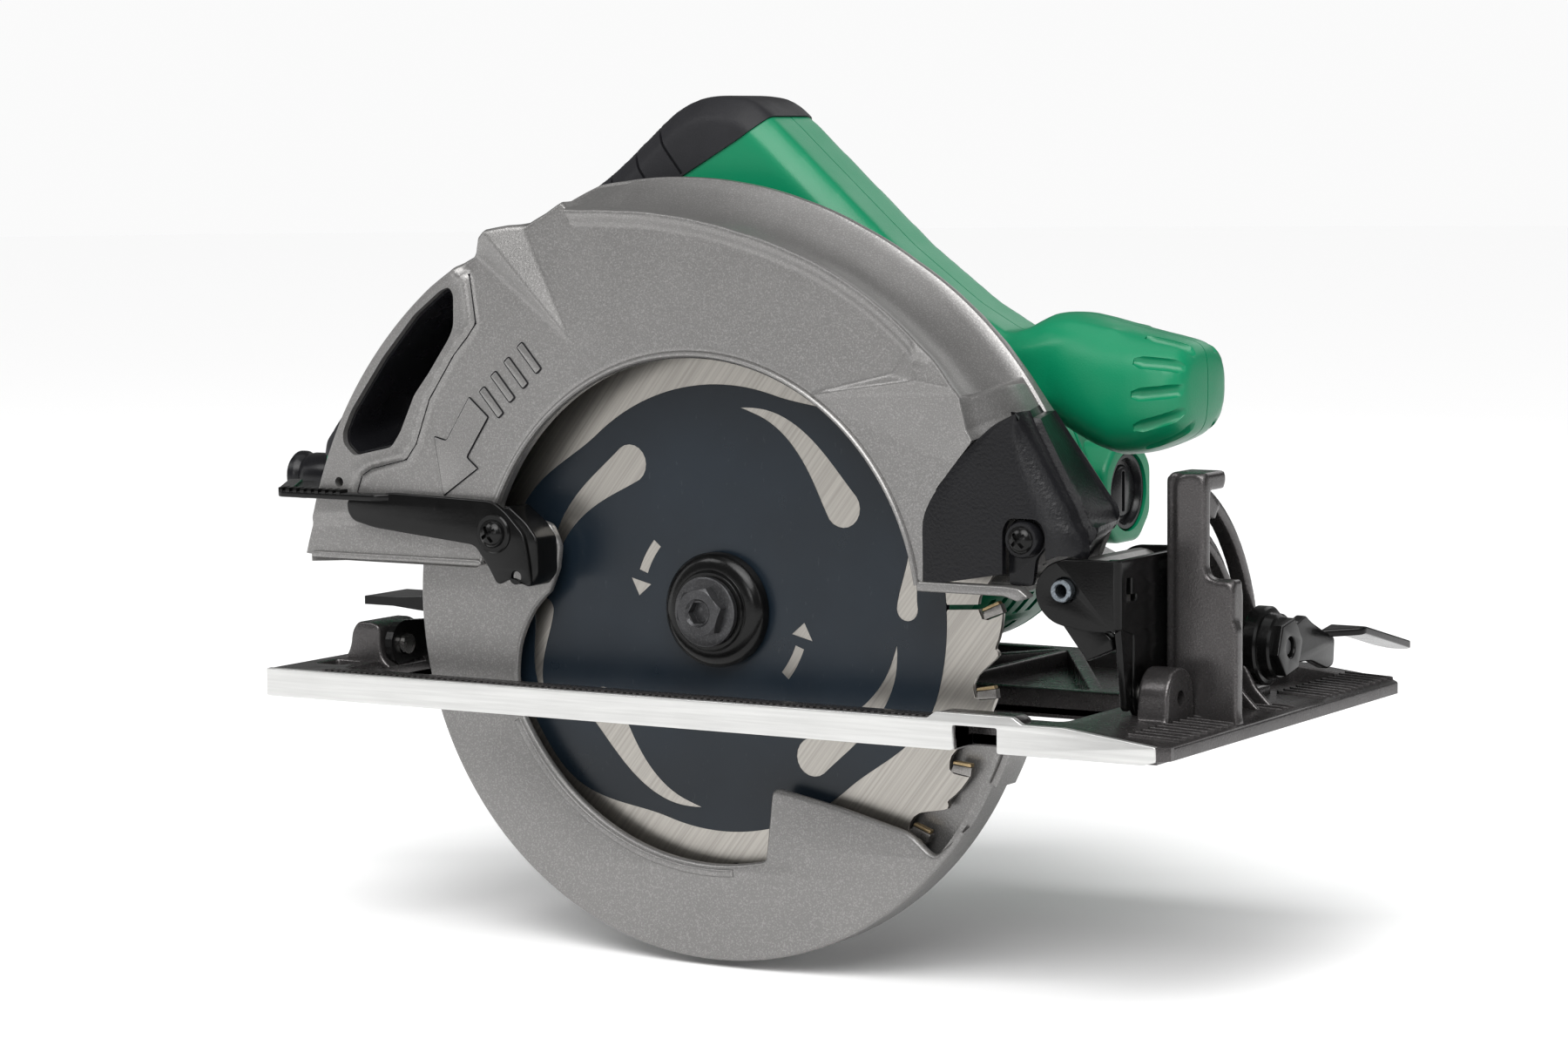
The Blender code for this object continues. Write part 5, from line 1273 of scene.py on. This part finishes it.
def front_handle_mesh():
    return tube([[(x, HANDLE_MIDDLE + a, middle + b) for a, b in superellipse(half_y, half_z)]
                 for x, middle, half_z, half_y in FRONT_SECTIONS])


def displaced(mesh, distance):
    """A copy of the mesh grown along its normals."""
    return modified(mesh.copy(), ("DISPLACE", {"strength": distance * MM, "mid_level": 0.0}))


def handle_solid():
    """The handle as one smooth solid: stepped layers and the front handle, melted together."""
    front = [(108, 80), (120, 86), (120, 102), (108.4, 110.4), (93.3, 112.8), (83, 110.6), (74.4, 108.4),
             (60, 116.5), (38.3, 132.6), (12.2, 156), (0, 167)]
    rear = [(-160, 79), (-167, 70), (-168.6, 60), (-167, 50.5), (-158, 47.2), (-100, 46.8), (-40, 49.4)]
    under = [(64, 82), (80.8, 86), (92, 83.6), (103, 80)]
    outline = front + smooth_path(GRIP_TOP, 4) + rear + arc(MOTOR, 44, 180, 36, 30) + under
    gap = inset(smooth_path(GRIP_GAP + GRIP_GAP[:1], 4)[:-1], -0.3)
    layers = [plate([outline, gap], HANDLE_MIDDLE - 12.6, HANDLE_MIDDLE + 12.6, "Y", 0.3)]
    for step, half in ((2.6, 15.2), (5.6, 16.9)):
        shrunk = [inset(outline, step), inset(gap, -step)]
        layers.append(plate(shrunk, HANDLE_MIDDLE - half, HANDLE_MIDDLE + half, "Y", 0.3))
    return melted(merged(*layers, front_handle_mesh()), 1.15, 16)


def grip_grooves(solid):
    """Slabs across the grip, outside a core, that cut rings into the rubber."""
    slabs = []
    path = [Vector(point) for point in GRIP_GROOVES]
    for i, at in enumerate(path):
        run = (path[min(i + 1, len(path) - 1)] - path[max(i - 1, 0)]).normalized()
        across = Vector((-run.y, run.x))
        low, high = at - across * 6, at + across * 17
        outline = [low + run * 0.45, high + run * 0.45, high - run * 0.45, low - run * 0.45]
        slabs.append(plate([[tuple(point) for point in outline]], 20, 72, "Y", 0.01, 0))
    return cut(merged(*slabs), displaced(solid, -0.5))


def handle_flutes():
    """Grooves along the front handle's end."""
    flutes = []
    for angle in FLUTE_ANGLES:
        c, s = cos(radians(angle)), sin(radians(angle))
        grow = 1 / (abs(c) ** ROUNDNESS + abs(s) ** ROUNDNESS) ** (1 / ROUNDNESS)
        rings = []
        for x, middle, half_z, half_y in FLUTE_SECTIONS:
            y, z = HANDLE_MIDDLE + half_y * c * grow, middle + half_z * s * grow
            size = 1.1 if x < 118 else 2.1
            rings.append([(x, y + size * cos(pi * k / 4), z + size * sin(pi * k / 4)) for k in range(8)])
        flutes.append(tube(rings))
    return merged(*flutes)


def handle_half(mesh, start, end):
    half = plate([box_outline(-200, 200, 0, 220)], start, end, "Y", 0.01, 0)
    return combined(mesh, half, "INTERSECT")


def make_handle():
    solid = handle_solid()
    zone = plate([rounded(RUBBER_ZONE, 5, 5)], 20, 72, "Y", 0.01, 0)
    rubber = combined(displaced(solid, 0.55), zone.copy(), "INTERSECT")
    add_mesh("grip_overmould", cut(rubber, grip_grooves(solid)), "black_rubber", "head", ["grip_rubber"],
             sharp=50)
    room = plate([rounded(TRIGGER_ROOM, 2)], HANDLE_MIDDLE - 8, HANDLE_MIDDLE + 8, "Y", 0.05)
    green = cut(solid, zone, room, handle_flutes())
    right = handle_half(green.copy(), 0, HANDLE_MIDDLE - 0.2)
    bores = merged(*(rod(screw, 4.6, 58.6, 75, "Y", 40) for screw in HANDLE_SCREWS))
    left = cut(handle_half(green, HANDLE_MIDDLE + 0.2, 120), bores)
    add_mesh("handle_right", right, "green_plastic", "head", ["handle_shell_right"], sharp=50)
    add_mesh("handle_left", left, "green_plastic", "head", ["handle_shell_left"], sharp=50)
    for number, centre in enumerate(HANDLE_SCREWS, 1):
        screw = screw_mesh(centre, 59.2, 3.6, 1.8, side=1, turn=17 * number)
        add_mesh(f"handle_bolt_{number}", screw, "black_steel", "head", [f"handle_screw_{number}"])


def make_cord_gland():
    gland = [(3.4, -186.4), (4.2, -187.2), (6.9, -187.2), (7.6, -186.4), (7.6, -184.8), (7, -183.8),
             (6.4, -183), (6.9, -182), (7.2, -180.6), (7.2, -169.4), (6.8, -168.3), (3.4, -168.3)]
    add_mesh("cord_gland", turned(gland, (HANDLE_MIDDLE, 58), "X", 56), "smooth_black", "head",
             ["cord_inlet"])


def make_trigger():
    outline = [(-28, 136), (-31, 139.5), (-54, 126.5), (-57, 122), (-61, 117), (-59, 109), (-52, 106),
               (-42, 112), (-37, 118), (-31, 122.5)]
    mesh = melted(plate([outline], HANDLE_MIDDLE - 7, HANDLE_MIDDLE + 7, "Y", 1.2), 0.5, 6)
    add_mesh("trigger_blade", mesh, "smooth_black", "trigger", ["trigger"], 180)


def make_cover_screw():
    screw = screw_mesh(COVER_SCREW, -17.2, 3.9, 2.4, turn=38)
    add_mesh("cover_screw", screw, "black_steel", "head", ["chip_cover_screw"])


CAD_LOOKS = {
    "steel": ["rear_bevel_pin", "spindle_bearing", "front_motor_bearing", "rear_motor_bearing",
              "guard_spring", "trigger_pin", "spindle", "drive_gear", "armature_shaft"],
    "black_steel": ["depth_link", "depth_lever"],
    "oxide_steel": ["depth_clamp_bolt", "inner_flange"],
    "copper": ["spindle_bush", "brush_holder_front", "brush_holder_rear", "commutator"],
    "lamination": ["stator", "armature_core"],
    "guard_paint": ["inner_cover"],
    "aluminium": ["gear_case"],
    "smooth_black": ["switch_body"],
    "black_plastic": ["cooling_fan"],
}
CAD_BEVELS = {"depth_link": 0.4, "depth_lever": 0.5, "depth_clamp_bolt": 0.4, "inner_flange": 0.3,
              "rear_bevel_pin": 0.4}


def finish_cad_nodes():
    """Materials for the CAD nodes that are shown themselves, and bevelled edges where they catch light."""
    for finish, names in CAD_LOOKS.items():
        for node in (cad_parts[name] for name in names):
            for slot in node.material_slots:
                slot.material = LOOKS[finish]
            if not node.material_slots:
                node.data.materials.append(LOOKS[finish])
    for name, width in CAD_BEVELS.items():
        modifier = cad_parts[name].modifiers.new("edges", "BEVEL")
        modifier.width = width * MM
        modifier.segments = 2
        modifier.limit_method = "ANGLE"
        modifier.angle_limit = radians(50)


# ---------------------------------------------------------------- stage

# The camera's numbers are millimetres and degrees from the fit to the photo; the lights' are metres.
CAMERA_AT = (631.4, -1007, 165.9)
CAMERA_TARGET = (20.82, 0, 55.22)
CAMERA_ROLL = -0.41
LENS, SENSOR = 95.66, 36.0
ROOM_LIGHT = 0.32
ROOM_GLOSS = 0.16
ROOM_SEEN = 0.96
SKY_LIGHT = 3.05
FLOOR_RADIUS, FLOOR_HEIGHT = 9.0, -0.0735
# name, place, size, power, colour
LIGHTS = [
    ("key", (0.55, -1.25, 1.30), (0.9, 0.6), 5.0, (1.0, 0.99, 0.97)),
    ("top", (-0.10, 0.10, 1.50), (1.2, 0.8), 3.0, (1.0, 1.0, 1.0)),
    ("right", (1.35, -0.35, 0.75), (0.4, 1.0), 2.0, (0.98, 0.99, 1.0)),
    ("back", (0.3, 1.5, 0.9), (1.6, 0.6), 4.0, (1.0, 1.0, 1.0)),
    ("low_left", (-1.3, -0.7, 0.35), (0.3, 0.9), 1.5, (1.0, 1.0, 1.0)),
    ("upper_left", (-0.80, -0.95, 1.00), (0.6, 0.5), 4.5, (1.0, 1.0, 1.0)),
    ("front", (0.30, -1.60, 0.35), (0.5, 0.3), 2.5, (1.0, 1.0, 1.0)),
]


def make_floor(rings=3, steps=64):
    points, faces = [], [list(range(steps))]
    for ring in range(rings):
        radius = FLOOR_RADIUS * (ring + 1) / rings
        points += [(*polar((0, 0), radius, 360 * k / steps), FLOOR_HEIGHT) for k in range(steps)]
    mesh = bpy.data.meshes.new("floor")
    mesh.from_pydata(points, [], faces + grid_faces(rings, steps, wrap=True))
    paper = bpy.data.materials.new("floor_paper")
    paper.use_nodes = True
    shader = paper.node_tree.nodes["Principled BSDF"]
    shader.inputs["Base Color"].default_value = (0.97, 0.97, 0.97, 1)
    shader.inputs["Roughness"].default_value = 0.9
    mesh.materials.append(paper)
    linked("floor", mesh)


def make_world():
    """A white room that is seen at one strength, reflected at another and lights at a third."""
    world = bpy.context.scene.world or bpy.data.worlds.new("studio")
    bpy.context.scene.world = world
    world.use_nodes = True
    tree = world.node_tree
    background = tree.nodes["Background"]
    background.inputs["Color"].default_value = (1.0, 1.0, 1.0, 1)
    ray = tree.nodes.new("ShaderNodeLightPath").outputs
    gloss = tree.nodes.new("ShaderNodeMapRange")
    gloss.inputs["To Min"].default_value = ROOM_LIGHT
    gloss.inputs["To Max"].default_value = ROOM_GLOSS
    tree.links.new(ray["Is Glossy Ray"], gloss.inputs["Value"])
    level = tree.nodes.new("ShaderNodeMapRange")
    tree.links.new(gloss.outputs["Result"], level.inputs["To Min"])
    level.inputs["To Max"].default_value = ROOM_SEEN
    tree.links.new(ray["Is Camera Ray"], level.inputs["Value"])
    tree.links.new(level.outputs["Result"], background.inputs["Strength"])


def aim(light, direction):
    light.rotation_mode = "QUATERNION"
    light.rotation_quaternion = direction.to_track_quat("-Z", "Y")


def make_lights():
    sun = bpy.data.lights.new("sky", "SUN")
    sun.energy = SKY_LIGHT
    sun.angle = radians(50)
    aim(linked("sky", sun), Vector((-0.45, 1.0, -1.2)))
    target = place(0, 0, 60)
    for name, at, size, power, shade in LIGHTS:
        data = bpy.data.lights.new(name, "AREA")
        data.shape = "RECTANGLE"
        data.size, data.size_y = size
        data.energy = power
        data.color = shade
        light = linked(name, data)
        light.location = at
        aim(light, target - Vector(at))


def make_camera():
    data = bpy.data.cameras.new("camera")
    data.sensor_width = SENSOR
    data.lens = LENS
    data.clip_start, data.clip_end = 0.05, 50.0
    camera = linked("camera", data)
    at, target = place(*CAMERA_AT), place(*CAMERA_TARGET)
    forward = (target - at).normalized()
    right = forward.cross(Vector((0, 0, 1))).normalized()
    up = right.cross(forward)
    roll = radians(CAMERA_ROLL)
    across, upward = right * cos(roll) + up * sin(roll), up * cos(roll) - right * sin(roll)
    turn = Matrix((across, upward, -forward)).transposed().to_4x4()
    camera.matrix_world = Matrix.Translation(at) @ turn
    bpy.context.scene.camera = camera
    bpy.context.scene.view_settings.view_transform = "Standard"
    bpy.context.scene.view_settings.look = "None"


make_looks()
make_camera()
make_floor()
make_world()
make_lights()
make_upper_guard()
make_chip_cover()
make_lower_guard()
make_guard_lever()
make_blade()
make_flange()
make_base()
make_quadrant()
make_front_boss()
make_bevel_lever()
make_roll_pin()
make_bracket()
make_motor()
make_handle()
make_cord_gland()
make_trigger()
make_cover_screw()
finish_cad_nodes()

bpy.context.view_layer.update()
